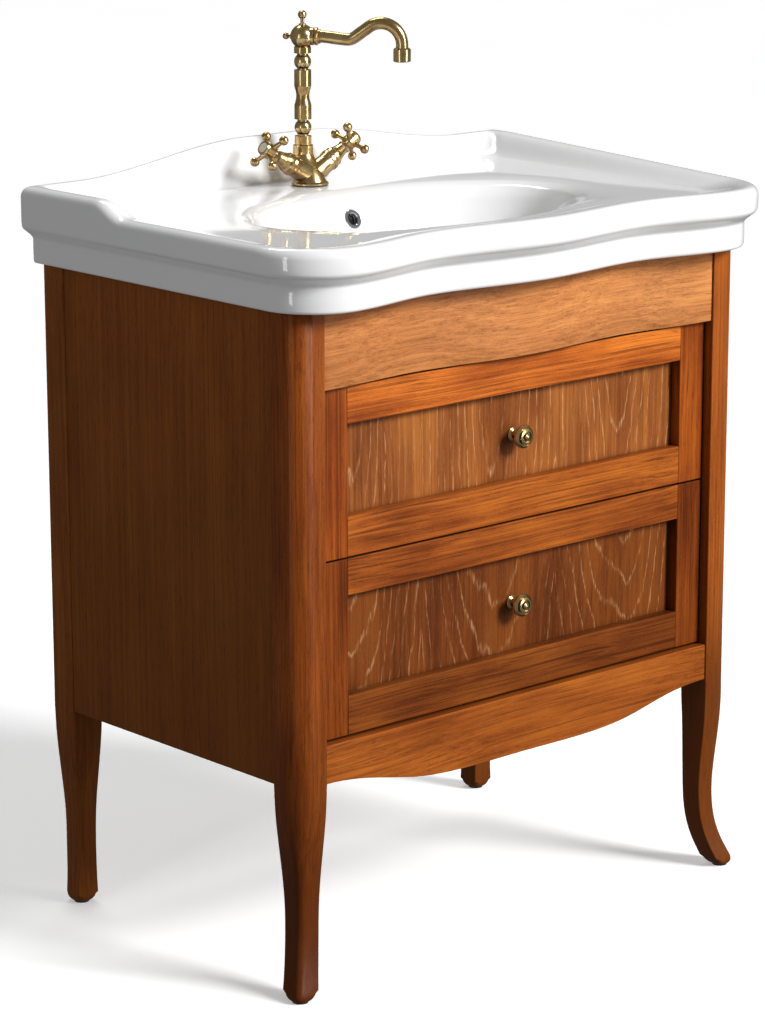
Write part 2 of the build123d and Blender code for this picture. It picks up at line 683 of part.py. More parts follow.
def channel(side, web_x, tip_x, half_height, z, sheet=RUNNER_SHEET):
    """A C-shaped runner member whose web is at web_x and whose flanges end at tip_x."""
    x_low, x_high = span(side, web_x, tip_x)
    inward = 1 if web_x < tip_x else -1
    block((x_low, RUNNER_Y, z - half_height), (x_high, RUNNER_Y + RUNNER_LENGTH, z + half_height))
    cut_low, cut_high = span(side, web_x + inward * sheet, tip_x)
    block(
        (cut_low, RUNNER_Y, z - half_height + sheet),
        (cut_high, RUNNER_Y + RUNNER_LENGTH, z + half_height - sheet),
        Mode.SUBTRACT,
    )


def make_runner(member, z):
    """One member of the pair of runners: fixed on the battens, middle, or on the drawer."""
    step = RUNNER_SHEET + RUNNER_GAP
    half = RUNNER_HEIGHT / 2
    tip = BOX_HALF + step
    members = {
        "fixed": (INNER_X, tip, half),
        "middle": (INNER_X - step, tip, half - step),
        "drawer": (BOX_HALF, INNER_X - 2 * step, half - 2 * step),
    }
    web_x, tip_x, half_height = members[member]
    with BuildPart() as runner:
        for side in (-1, 1):
            channel(side, web_x, tip_x, half_height, z)
    return runner


def make_battens():
    """Battens on the side panels, level with the posts, that carry the fixed runners."""
    with BuildPart() as battens:
        for z in RUNNER_HEIGHTS.values():
            for side in (-1, 1):
                side_block(side, INNER_X, PANEL_INNER_X, FRONT_POST_BACK_Y, REAR_POST_FRONT_Y,
                           z - BATTEN_HEIGHT / 2, z + BATTEN_HEIGHT / 2)
    return battens


RUNNER_HEIGHTS = {name: low + BOX_LIFT + RUNNER_LIFT for name, (low, high) in DRAWERS.items()}


# ================================================================ basin
WASTE_PLANE = Plane((0, BOWL_Y, BOWL_FLOOR_Z))
TAP_PLANE = Plane((0, TAP_Y, DECK_Z))


def basin_outline(z, inset):
    """Plan of the basin, drawn inset from its widest edge: straight back, serpentine front."""
    half = BASIN_WIDTH / 2 - inset
    radius = CORNER_RADIUS - inset
    end_x = half - radius
    end_y = -BASIN_DEPTH / 2 + inset
    with BuildSketch(Plane.XY.offset(z)) as outline:
        with BuildLine():
            front = serpentine(end_x, end_y, FRONT_DIP_X, end_y + FRONT_DIP, end_y + FRONT_MIDDLE)
            right = JernArc(front @ 1, (1, 0), radius, 90)
            left = JernArc(front @ 0, (-1, 0), radius, -90)
            Polyline(right @ 1, (half, WALL_Y), (-half, WALL_Y), left @ 1)
        make_face()
    return outline.sketch


def wing_z(y, side):
    """Height of a side edge: the left one rises in an S, the right one in a straight line."""
    if side < 0:
        return BASIN_RIM + WING_RISE * smooth_step((y - WING_FOOT_Y) / WING_RAMP)
    share = (y - RIGHT_WING_FOOT_Y) / (WALL_Y - SPLASH_THICKNESS - RIGHT_WING_FOOT_Y)
    return BASIN_RIM + WING_RISE * min(max(share, 0.0), 1.0)


def deck_section(y, floor_z):
    """Section of the air over the deck: level floor, sloping sides, open above the side edges."""
    left_z, right_z = wing_z(y, -1), wing_z(y, 1)
    edge_x = BASIN_WIDTH / 2 - RIM_EDGE
    floor_x = edge_x - RIM_SLOPE_WIDTH
    out_x = BASIN_WIDTH / 2 + RIM_EDGE
    top_z = BASIN_RIM + 2 * SPLASH_RISE
    with BuildSketch(Plane((0, y, 0), x_dir=(1, 0, 0), z_dir=(0, -1, 0))) as section:
        with BuildLine():
            Polyline(
                (-out_x, top_z), (-out_x, left_z), (-edge_x, left_z), (-floor_x, floor_z),
                (floor_x, floor_z), (edge_x, right_z), (out_x, right_z), (out_x, top_z),
                close=True,
            )
        make_face()
    return section.sketch


def deck_cut():
    """Air over the deck: front slope, level middle, wing ramp and raised rear."""
    front_y = -BASIN_DEPTH / 2
    ramp_ys = [WING_FOOT_Y + WING_RAMP * step / RAMP_STEPS for step in range(RAMP_STEPS + 1)]
    stations = [(front_y - RIM_EDGE, BASIN_RIM), (front_y + FRONT_DIP + RIM_EDGE, BASIN_RIM)]
    stations.append((front_y + FRONT_DIP + RIM_EDGE + FRONT_SLOPE_WIDTH, DECK_Z))
    stations += [(y, DECK_Z) for y in ramp_ys]
    stations.append((WALL_Y - SPLASH_THICKNESS, DECK_Z))
    with BuildPart() as air:
        loft([deck_section(y, floor_z) for y, floor_z in stations], ruled=True)
    return air


def splash_cut():
    """Air over the splashback, whose crown falls in an S to the wings."""
    crown_z = BASIN_RIM + SPLASH_RISE
    wing_top = BASIN_RIM + WING_RISE
    out_x = BASIN_WIDTH / 2 + RIM_EDGE
    with BuildPart() as air:
        with BuildSketch(Plane((0, WALL_Y + RIM_EDGE, 0), x_dir=(1, 0, 0), z_dir=(0, -1, 0))):
            with BuildLine():
                left = Spline((-SPLASH_END_X, wing_top), (-SPLASH_FLAT_X, crown_z), tangents=((1, 0), (1, 0)))
                right = Spline((SPLASH_FLAT_X, crown_z), (SPLASH_END_X, wing_top), tangents=((1, 0), (1, 0)))
                Line(left @ 1, right @ 0)
                Polyline(
                    left @ 0, (-out_x, wing_top), (-out_x, crown_z + RIM_EDGE),
                    (out_x, crown_z + RIM_EDGE), (out_x, wing_top), right @ 1,
                )
            make_face()
        extrude(amount=BASIN_DEPTH + 4 * RIM_EDGE)
    return air


def bowl_loft(wall, mode):
    """The bowl's inside, or with a wall its outside."""
    sections = []
    for share, length_share, depth_share in BOWL_STATIONS:
        with BuildSketch(Plane((0, BOWL_Y, DECK_Z - wall - share * BOWL_DROP))) as section:
            Ellipse(BOWL_HALF_LENGTH * length_share + wall, BOWL_HALF_DEPTH * depth_share + wall)
        sections.append(section.sketch)
    with BuildSketch(Plane((0, BOWL_Y, BOWL_FLOOR_Z - wall))) as floor:
        Circle(BOWL_FLOOR_RADIUS + wall)
    loft([*sections, floor.sketch], mode=mode)


def make_basin():
    band_z = CABINET_TOP + LOWER_BAND
    crown_z = BASIN_RIM + SPLASH_RISE
    skirt_x = BASIN_WIDTH / 2 - BAND_STEP - WALL_INSET
    skirt_front = FRONT_Y + FASCIA_THICKNESS
    deck_air = deck_cut()
    splash_air = splash_cut()
    with BuildPart() as basin:
        extrude(basin_outline(CABINET_TOP, BAND_STEP), amount=LOWER_BAND)
        extrude(basin_outline(band_z, 0), amount=crown_z - band_z)
        add(deck_air.part, mode=Mode.SUBTRACT)
        add(splash_air.part, mode=Mode.SUBTRACT)
        block(
            (-skirt_x, skirt_front, CABINET_TOP),
            (skirt_x, WALL_Y - SPLASH_THICKNESS, DECK_Z - DECK_THICKNESS),
            Mode.SUBTRACT,
        )
        bowl_loft(BOWL_WALL, Mode.ADD)
        bowl_loft(0, Mode.SUBTRACT)
        rod(WASTE_PLANE, -BOWL_WALL, 0, DRAIN_RADIUS, Mode.SUBTRACT)
        rod(TAP_PLANE, -DECK_THICKNESS, 0, TAP_HOLE_RADIUS, Mode.SUBTRACT)
        rod(OVERFLOW_PLANE, -OVERFLOW_DEPTH, 0, OVERFLOW_RADIUS, Mode.SUBTRACT)
        rod(OVERFLOW_PLANE, -OVERFLOW_SEAT, OVERFLOW_RING_LIP, OVERFLOW_RING_RADIUS, Mode.SUBTRACT)
    return basin


def bowl_radius_y(drop):
    """Half depth of the bowl at a drop under the deck, from its stations."""
    share = drop / BOWL_DROP
    for (low, _, low_y), (high, _, high_y) in zip(BOWL_STATIONS, BOWL_STATIONS[1:]):
        if share <= high:
            return BOWL_HALF_DEPTH * (low_y + (high_y - low_y) * (share - low) / (high - low))
    return BOWL_FLOOR_RADIUS


OVERFLOW_PLANE = Plane(
    (0, BOWL_Y + bowl_radius_y(OVERFLOW_DROP), DECK_Z - OVERFLOW_DROP),
    x_dir=(1, 0, 0),
    z_dir=(0, -cos(radians(OVERFLOW_TILT)), sin(radians(OVERFLOW_TILT))),
)


def make_overflow_ring():
    """A flanged ring pressed into the overflow hole."""
    bore = OVERFLOW_RADIUS - OVERFLOW_RING_LIP
    half_lip = OVERFLOW_RING_LIP / 2
    face = OVERFLOW_RING_LIP - OVERFLOW_SEAT
    outline = (
        (bore, -OVERFLOW_DEPTH / 2),
        (OVERFLOW_RADIUS, -OVERFLOW_DEPTH / 2),
        (OVERFLOW_RADIUS, -OVERFLOW_SEAT),
        (OVERFLOW_RING_RADIUS, -OVERFLOW_SEAT),
        (OVERFLOW_RING_RADIUS, face - half_lip),
        (OVERFLOW_RING_RADIUS - half_lip, face),
        (bore + half_lip, face),
        (bore, face - half_lip),
    )
    with BuildPart() as ring:
        turn(OVERFLOW_PLANE, outline)
    return ring


# ================================================================ waste and trap
WASTE_END = BOWL_FLOOR_Z - WASTE_LENGTH
TRAP_HEAD_TOP = WASTE_END + WASTE_SOCKET
TRAP_HEAD_LOW = TRAP_HEAD_TOP - TRAP_HEAD_HEIGHT
TRAP_PLANE = Plane((0, BOWL_Y, TRAP_HEAD_LOW))
TRAP_CAVITY = TRAP_HEAD_HEIGHT - WASTE_SOCKET
OUTLET_PLANE = Plane((0, BOWL_Y, TRAP_HEAD_LOW + TRAP_CAVITY / 2), x_dir=(1, 0, 0), z_dir=(0, 1, 0))


def make_waste_body():
    """Flanged waste with a threaded tail and a bridge that guides the plug's stem."""
    flange = WASTE_FLANGE_THICKNESS
    outline = (
        (WASTE_BORE_RADIUS, -WASTE_LENGTH),
        (WASTE_BODY_RADIUS, -WASTE_LENGTH),
        (WASTE_BODY_RADIUS, 0),
        (WASTE_FLANGE_RADIUS, 0),
        (WASTE_FLANGE_RADIUS, flange / 2),
        (WASTE_FLANGE_RADIUS - flange, flange),
        (PLUG_RADIUS + SWIVEL_GAP, flange),
        (WASTE_BORE_RADIUS, 0),
    )
    bridge_z = BOWL_FLOOR_Z - WASTE_BRIDGE_DROP
    with BuildPart() as body:
        turn(WASTE_PLANE, outline)
        block(
            (-WASTE_BODY_RADIUS + 1, BOWL_Y - WASTE_BRIDGE, bridge_z - WASTE_BRIDGE),
            (WASTE_BODY_RADIUS - 1, BOWL_Y + WASTE_BRIDGE, bridge_z),
        )
        rod(Plane((0, BOWL_Y, bridge_z)), -WASTE_BRIDGE, 0, PLUG_STEM_RADIUS + SPIGOT_GAP, Mode.SUBTRACT)
    return body


def make_waste_plug():
    """A domed plug on a stem that slides in the waste's bridge."""
    low = SWIVEL_GAP
    outline = (
        (0, -PLUG_STEM_LENGTH),
        (PLUG_STEM_RADIUS, -PLUG_STEM_LENGTH),
        (PLUG_STEM_RADIUS, low),
        (WASTE_BORE_RADIUS, low),
        (PLUG_RADIUS, WASTE_FLANGE_THICKNESS),
        (PLUG_RADIUS, low + PLUG_THICKNESS * 0.6),
        (PLUG_RADIUS - 1, low + PLUG_THICKNESS * 0.75),
        (PLUG_RADIUS / 2, low + PLUG_THICKNESS * 0.95),
        (0, low + PLUG_THICKNESS),
    )
    with BuildPart() as plug:
        turn(WASTE_PLANE, outline)
    return plug


def make_waste_nut():
    low = BOWL_UNDER_Z - WASTE_NUT_HEIGHT
    with BuildPart() as nut:
        with BuildSketch(Plane((0, BOWL_Y, low))):
            RegularPolygon(WASTE_NUT_RADIUS, 6)
            Circle(WASTE_BODY_RADIUS, mode=Mode.SUBTRACT)
        extrude(amount=WASTE_NUT_HEIGHT)
    return nut


def make_trap_head():
    """Head of the bottle trap: takes the waste's tail from above and the outlet from behind."""
    with BuildPart() as head:
        rod(TRAP_PLANE, 0, TRAP_HEAD_HEIGHT, TRAP_RADIUS)
        rod(OUTLET_PLANE, TRAP_RADIUS / 2, TRAP_RADIUS + OUTLET_SOCKET, OUTLET_RADIUS + TRAP_WALL)
        rod(TRAP_PLANE, 0, TRAP_HEAD_HEIGHT, WASTE_BODY_RADIUS, Mode.SUBTRACT)
        rod(TRAP_PLANE, 0, TRAP_CAVITY, TRAP_RADIUS - TRAP_WALL, Mode.SUBTRACT)
        rod(OUTLET_PLANE, 0, TRAP_RADIUS + OUTLET_SOCKET, OUTLET_RADIUS, Mode.SUBTRACT)
    return head


def make_trap_cup():
    """The bottle under the head, which unscrews for cleaning."""
    foot = -TRAP_CUP_HEIGHT
    outline = (
        (0, foot),
        (TRAP_RADIUS - 2 * TRAP_WALL, foot),
        (TRAP_RADIUS, foot + 2 * TRAP_WALL),
        (TRAP_RADIUS, 0),
        (TRAP_RADIUS - TRAP_WALL, 0),
        (TRAP_RADIUS - TRAP_WALL, foot + 3 * TRAP_WALL),
        (TRAP_RADIUS - 3 * TRAP_WALL, foot + TRAP_WALL),
        (0, foot + TRAP_WALL),
    )
    with BuildPart() as cup:
        turn(TRAP_PLANE, outline)
    return cup


def make_trap_outlet():
    """Pipe to the wall, with a bead where its free end starts."""
    end = WALL_Y - BOWL_Y
    with BuildPart() as outlet:
        rod(OUTLET_PLANE, TRAP_RADIUS, end, OUTLET_RADIUS)
        rod(OUTLET_PLANE, end - OUTLET_FREE_END - OUTLET_BEAD, end - OUTLET_FREE_END, OUTLET_RADIUS + OUTLET_BEAD)
        rod(OUTLET_PLANE, TRAP_RADIUS, end, OUTLET_RADIUS - OUTLET_WALL, Mode.SUBTRACT)
    return outlet


# ================================================================ tap
COLUMN_PLANE = Plane((0, TAP_Y + COLUMN_SETBACK, DECK_Z))


def valve_plane(side):
    """Plane at the foot of a valve's axis, facing outward and up along it."""
    tilt = radians(VALVE_TILT)
    return Plane(
        (0, TAP_Y, DECK_Z + VALVE_FOOT),
        x_dir=(0, -1, 0),
        z_dir=(side * cos(tilt), 0, sin(tilt)),
    )


def make_tap_gasket():
    with BuildPart() as gasket:
        with BuildSketch(TAP_PLANE):
            Circle(TAP_BASE_RADIUS - TAP_GASKET)
            Circle(TAP_SHANK_RADIUS, mode=Mode.SUBTRACT)
        extrude(amount=TAP_GASKET)
    return gasket


def tap_body_stem():
    """Round sections that lean back from the base to the column's foot."""
    stations = [*TAP_BODY_STATIONS, (TAP_BODY_HEIGHT, COLUMN_COLLAR_RADIUS, 1.0)]
    sections = []
    for height, radius, share in stations:
        with BuildSketch(Plane((0, TAP_Y + COLUMN_SETBACK * share, DECK_Z + height))) as section:
            Circle(radius)
        sections.append(section.sketch)
    loft(sections)


def make_tap_body():
    """The V-shaped body, its valve arms, and the shank through the deck."""
    outline = (
        (0, -TAP_SHANK_LENGTH),
        (TAP_SHANK_RADIUS, -TAP_SHANK_LENGTH),
        (TAP_SHANK_RADIUS, TAP_GASKET),
        (TAP_BASE_RADIUS, TAP_GASKET),
        (TAP_BASE_RADIUS, TAP_BASE_HEIGHT - TAP_BASE_EASE),
        (TAP_BASE_RADIUS - TAP_BASE_EASE, TAP_BASE_HEIGHT),
        (0, TAP_BASE_HEIGHT),
    )
    arm_outline = [(0, 0), *((radius, VALVE_ARM_LENGTH * share) for radius, share in VALVE_ARM_PROFILE)]
    arm_outline.append((0, VALVE_ARM_LENGTH))
    hole_plane = Plane((0, TAP_Y, DECK_Z + FIXING_HOLE_HEIGHT), x_dir=(1, 0, 0), z_dir=(0, -1, 0))
    with BuildPart() as body:
        turn(TAP_PLANE, outline)
        tap_body_stem()
        for side in (-1, 1):
            turn(valve_plane(side), arm_outline)
        rod(hole_plane, FIXING_HOLE_FLOOR, TAP_BASE_RADIUS, FIXING_HOLE_RADIUS, Mode.SUBTRACT)
        with BuildSketch(TAP_PLANE.offset(-TAP_SHANK_LENGTH)):
            with GridLocations(INLET_SPACING, 0, 2, 1):
                Circle(INLET_RADIUS)
        extrude(amount=INLET_LENGTH, mode=Mode.SUBTRACT)
    return body


def make_tap_nut():
    """Backnut that pulls the tap down on the deck from underneath."""
    top = DECK_Z - DECK_THICKNESS
    with BuildPart() as nut:
        with BuildSketch(Plane((0, TAP_Y, top - TAP_NUT_HEIGHT))):
            RegularPolygon(TAP_NUT_RADIUS, 6)
            Circle(TAP_SHANK_RADIUS, mode=Mode.SUBTRACT)
        extrude(amount=TAP_NUT_HEIGHT)
    return nut


BEAD_HALF = sqrt(BEAD_RADIUS**2 - BEAD_NECK_RADIUS**2) + BEAD_NECK


def bead(middle):
    """A ball between two short necks, as (radius, height) points."""
    first = asin(BEAD_NECK_RADIUS / BEAD_RADIUS)
    angles = [first + (pi - 2 * first) * step / BEAD_STEPS for step in range(BEAD_STEPS + 1)]
    arc = [(BEAD_RADIUS * sin(angle), middle - BEAD_RADIUS * cos(angle)) for angle in angles]
    return [(BEAD_NECK_RADIUS, middle - BEAD_HALF), *arc, (BEAD_NECK_RADIUS, middle + BEAD_HALF)]


def make_tap_column():
    """The turned column between the body and the swivel head."""
    low = TAP_BODY_HEIGHT
    collar_top = low + COLUMN_COLLAR
    ring_top = collar_top + COLUMN_RING
    bore = SPIGOT_RADIUS + SPIGOT_GAP
    outline = [(0, low), (COLUMN_COLLAR_RADIUS, low), (COLUMN_COLLAR_RADIUS, collar_top - COLUMN_COLLAR_EASE)]
    outline += [(COLUMN_RADIUS, collar_top), (COLUMN_RADIUS, ring_top)]
    outline += bead(ring_top + BEAD_HALF)
    outline += [(radius, low + height) for radius, height in BALUSTER]
    outline += bead(low + BALUSTER[-1][1] + BEAD_HALF)
    outline += [(BEAD_NECK_RADIUS, COLUMN_TOP), (bore, COLUMN_TOP), (bore, COLUMN_TOP - SPIGOT_LENGTH)]
    outline.append((0, COLUMN_TOP - SPIGOT_LENGTH))
    with BuildPart() as column:
        turn(COLUMN_PLANE, outline)
    return column


SPOUT_DIRECTION = Vector(sin(radians(SPOUT_TURN)), -cos(radians(SPOUT_TURN)), 0)
HEAD_CENTRE = Vector(0, TAP_Y + COLUMN_SETBACK, DECK_Z + HEAD_HEIGHT)
SPOUT_PLANE = Plane(HEAD_CENTRE, x_dir=(0, 0, 1), z_dir=SPOUT_DIRECTION)
FINIAL_PLANES = (Plane(HEAD_CENTRE), Plane(HEAD_CENTRE, x_dir=(0, 0, 1), z_dir=-SPOUT_DIRECTION))


def make_spout_head():
    """The ball that turns on the column and carries the spout."""
    collar = COLUMN_TOP + SWIVEL_GAP
    outline = (
        (0, COLUMN_TOP - SPIGOT_LENGTH + SWIVEL_GAP),
        (SPIGOT_RADIUS, COLUMN_TOP - SPIGOT_LENGTH + SWIVEL_GAP),
        (SPIGOT_RADIUS, collar),
        (COLUMN_RADIUS, collar),
        (COLUMN_RADIUS, collar + HEAD_COLLAR),
        (0, HEAD_HEIGHT),
    )
    boss_outline = [(0, 0), *BOSS_PROFILE, (0, SPOUT_START)]
    with BuildPart() as head:
        turn(COLUMN_PLANE, outline)
        ball(HEAD_CENTRE, HEAD_RADIUS)
        turn(SPOUT_PLANE, boss_outline)
        for seat in FINIAL_PLANES:
            rod(seat, FINIAL_SEAT, HEAD_RADIUS, HEAD_RADIUS / 2, Mode.SUBTRACT)
    return head


def make_spout():
    """Swan-neck tube: level, then up, round the crown and down to the nozzle."""
    climb = tan(radians(SPOUT_CLIMB))
    start = SPOUT_START
    crown = -SPOUT_DIP + (SPOUT_REACH - SPOUT_LEVEL) * climb
    plane = Plane(HEAD_CENTRE, x_dir=SPOUT_DIRECTION, z_dir=SPOUT_DIRECTION.cross(Vector(0, 0, 1)))
    with BuildPart() as spout:
        with BuildLine(plane) as route:
            FilletPolyline(
                (start, 0), (start + SPOUT_STUB, 0), (SPOUT_LEVEL, -SPOUT_DIP),
                (SPOUT_REACH, crown), (SPOUT_REACH, -NOZZLE_DROP),
                radius=(SPOUT_FOOT_BEND, SPOUT_FOOT_BEND, SPOUT_CROWN_BEND),
            )
        with BuildSketch(Plane(route.line @ 0, z_dir=route.line % 0)):
            Circle(SPOUT_RADIUS)
            Circle(SPOUT_BORE, mode=Mode.SUBTRACT)
        sweep(path=route.line)
    return spout


def make_nozzle():
    """Collar round the spout's mouth, with the aerator's bore."""
    mouth = HEAD_CENTRE + SPOUT_DIRECTION * SPOUT_REACH - Vector(0, 0, NOZZLE_DROP)
    plane = Plane(mouth, z_dir=(0, 0, -1))
    outline = [(SPOUT_BORE, 0), *NOZZLE_PROFILE, (NOZZLE_MOUTH_RADIUS, NOZZLE_LENGTH)]
    outline += [(NOZZLE_MOUTH_RADIUS, NOZZLE_FLOOR), (SPOUT_BORE, NOZZLE_FLOOR)]
    with BuildPart() as nozzle:
        turn(plane, outline)
    return nozzle


def make_finials():
    """The finial on top of the head and the small screw knob behind it."""
    with BuildPart() as finials:
        for plane, stem, radius in zip(FINIAL_PLANES, FINIAL_STEMS, FINIAL_RADII):
            centre = FINIAL_SEAT + stem + radius
            rod(plane, FINIAL_SEAT, FINIAL_SEAT + FINIAL_FOOT_HEIGHT, radius * FINIAL_FOOT_SHARE)
            stem_radius = radius * FINIAL_STEM_SHARE
            ball_ended_rod(plane, FINIAL_SEAT, centre, (stem_radius, stem_radius, radius))
    return finials


BONNET_END = VALVE_ARM_LENGTH + BONNET_LENGTH
HUB_START = BONNET_END + SWIVEL_GAP
HUB_END = HUB_START + HUB_LENGTH


def make_bonnet(side):
    """Stepped bonnet on a valve arm, bored for the handle's spindle."""
    bore = SPINDLE_RADIUS + SPIGOT_GAP
    floor = BONNET_END - SPINDLE_LENGTH
    outline = [(bore, floor), (bore, BONNET_END)]
    outline += [(radius, VALVE_ARM_LENGTH + BONNET_LENGTH * share) for radius, share in BONNET_PROFILE]
    outline += [(0, VALVE_ARM_LENGTH), (0, floor)]
    with BuildPart() as bonnet:
        turn(valve_plane(side), outline)
    return bonnet


def make_handle(side, cross_turn):
    """Cross handle: spindle, turned hub, and four ball-ended arms."""
    plane = valve_plane(side)
    spindle_end = BONNET_END - SPINDLE_LENGTH + SWIVEL_GAP
    outline = [(0, spindle_end), (SPINDLE_RADIUS, spindle_end), (SPINDLE_RADIUS, HUB_START)]
    outline += [(radius, HUB_START + height) for radius, height in HUB_PROFILE]
    outline += [(INDEX_RADIUS, HUB_END), (INDEX_RADIUS, HUB_END - INDEX_THICKNESS), (0, HUB_END - INDEX_THICKNESS)]
    centre = plane.origin + plane.z_dir * (HUB_START + CROSS_HEIGHT)
    with BuildPart() as handle:
        turn(plane, outline)
        for quarter in range(4):
            angle = radians(cross_turn + 90 * quarter)
            out = plane.x_dir * cos(angle) + plane.y_dir * sin(angle)
            radii = (CROSS_ROOT_RADIUS, CROSS_ARM_RADIUS, CROSS_BALL_RADIUS)
            ball_ended_rod(Plane(centre, z_dir=out), HUB_RADIUS / 2, CROSS_REACH, radii)
    return handle


def make_index(side):
    """Plain pale disc let into the end of a handle."""
    with BuildPart() as index:
        rod(valve_plane(side), HUB_END - INDEX_THICKNESS, HUB_END, INDEX_RADIUS)
    return index


# ================================================================ build and write
def save_cabinet():
    toes = []
    for facing, end in ((-1, "front"), (1, "rear")):
        for side in (-1, 1):
            post, toe = make_post(side, facing)
            toes.append(toe)
            save(post, f"{end}_{side_name(side)}_post")
    save(make_glides(toes), "foot_glides")
    for side in (-1, 1):
        save(make_side_panel(side), f"{side_name(side)}_side_panel")
    save(make_fascia(), "front_fascia")
    save(make_apron(), "front_apron")
    save(make_rear_rail(), "rear_top_rail")
    save(make_bottom_board(), "bottom_board")
    save(make_corner_blocks(), "corner_blocks")
    save(make_battens(), "runner_battens")


def save_drawer(name, low, high):
    box_low = low + BOX_LIFT
    notched = name == "upper"
    save(make_stiles(low, high), f"{name}_drawer_stiles")
    save(make_rail(low, high, high - TOP_RAIL_HEIGHT, high), f"{name}_drawer_top_rail")
    save(make_rail(low, high, low, low + BOTTOM_RAIL_HEIGHT), f"{name}_drawer_bottom_rail")
    save(make_front_panel(low, high), f"{name}_drawer_front_panel")
    save(make_box_sides(box_low), f"{name}_drawer_sides")
    save(make_box_bottom(box_low, notched), f"{name}_drawer_bottom")
    save(make_box_back(box_low, notched), f"{name}_drawer_back")
    if notched:
        save(make_liner(box_low), f"{name}_drawer_liner")
    save(make_knob(knob_plane(low, high)), f"{name}_drawer_knob")
    save(make_knob_screw(knob_plane(low, high)), f"{name}_drawer_knob_screw")
    for member in ("fixed", "middle", "drawer"):
        save(make_runner(member, RUNNER_HEIGHTS[name]), f"{name}_runners_{member}")


def save_basin_and_waste():
    save(make_basin(), "basin")
    save(make_overflow_ring(), "overflow_ring")
    save(make_waste_body(), "waste_body")
    save(make_waste_plug(), "waste_plug")
    save(make_waste_nut(), "waste_nut")
    save(make_trap_head(), "trap_head")
    save(make_trap_cup(), "trap_cup")
    save(make_trap_outlet(), "trap_outlet")


def save_tap():
    save(make_tap_gasket(), "tap_gasket")
    save(make_tap_body(), "tap_body")
    save(make_tap_nut(), "tap_nut")
    save(make_tap_column(), "tap_column")
    save(make_spout_head(), "spout_head")
    save(make_spout(), "spout")
    save(make_nozzle(), "spout_nozzle")
    save(make_finials(), "spout_finials")
    for side in (-1, 1):
        name = side_name(side)
        save(make_bonnet(side), f"{name}_bonnet")
        save(make_handle(side, CROSS_TURNS[name]), f"{name}_handle")
        save(make_index(side), f"{name}_index")


save_cabinet()
for drawer, (front_low, front_high) in DRAWERS.items():
    save_drawer(drawer, front_low, front_high)
save_basin_and_waste()
save_tap()
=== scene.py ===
"""Looks of the washbasin vanity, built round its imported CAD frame. Metres, in the row frame."""

import math

import bpy
import numpy as np
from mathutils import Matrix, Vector


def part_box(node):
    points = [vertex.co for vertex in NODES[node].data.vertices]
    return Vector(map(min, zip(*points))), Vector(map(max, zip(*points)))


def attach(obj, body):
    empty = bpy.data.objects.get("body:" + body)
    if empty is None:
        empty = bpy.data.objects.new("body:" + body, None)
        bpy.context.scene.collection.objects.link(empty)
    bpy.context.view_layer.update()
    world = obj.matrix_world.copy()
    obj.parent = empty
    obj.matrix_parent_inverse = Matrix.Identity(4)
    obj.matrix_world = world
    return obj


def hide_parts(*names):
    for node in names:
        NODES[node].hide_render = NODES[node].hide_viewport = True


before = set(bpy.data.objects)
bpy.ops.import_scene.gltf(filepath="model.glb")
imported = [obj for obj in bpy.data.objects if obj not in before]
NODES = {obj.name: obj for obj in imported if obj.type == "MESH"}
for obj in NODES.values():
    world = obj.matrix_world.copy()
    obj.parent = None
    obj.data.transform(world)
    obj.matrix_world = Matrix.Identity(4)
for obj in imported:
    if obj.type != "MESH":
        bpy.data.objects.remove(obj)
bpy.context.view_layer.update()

scene = bpy.context.scene

# ---------------------------------------------------------------- camera
CAMERA_AT = (-2.6919, -2.9646, 1.4532)
CAMERA_TURN, CAMERA_DOWN, CAMERA_ROLL = -41.8, 13.8, 0.1  # degrees
CAMERA_LENS, CAMERA_SENSOR = 122.3, 36  # mm
CAMERA_REACH = 50

camera = bpy.data.objects.new("camera", bpy.data.cameras.new("camera"))
scene.collection.objects.link(camera)
camera.location = CAMERA_AT
camera.rotation_euler = [math.radians(a) for a in (90 - CAMERA_DOWN, CAMERA_ROLL, CAMERA_TURN)]
camera.data.lens = CAMERA_LENS
camera.data.sensor_width = CAMERA_SENSOR
camera.data.clip_end = CAMERA_REACH
scene.camera = camera


# ---------------------------------------------------------------- node helpers
EDGE_FLAT, EDGE_FULL = 0.995, 0.80  # cosines between the rounded and the real normal
HOLLOW_OPEN, HOLLOW_DEEP = 0.75, 0.25  # shares of the open sky
SHADER_INPUTS = {
    "color": "Base Color", "rough": "Roughness", "metal": "Metallic", "normal": "Normal",
    "coat": "Coat Weight", "coat_rough": "Coat Roughness", "specular": "Specular IOR Level",
}


def shade(colour, share):
    return tuple(c * share for c in colour)


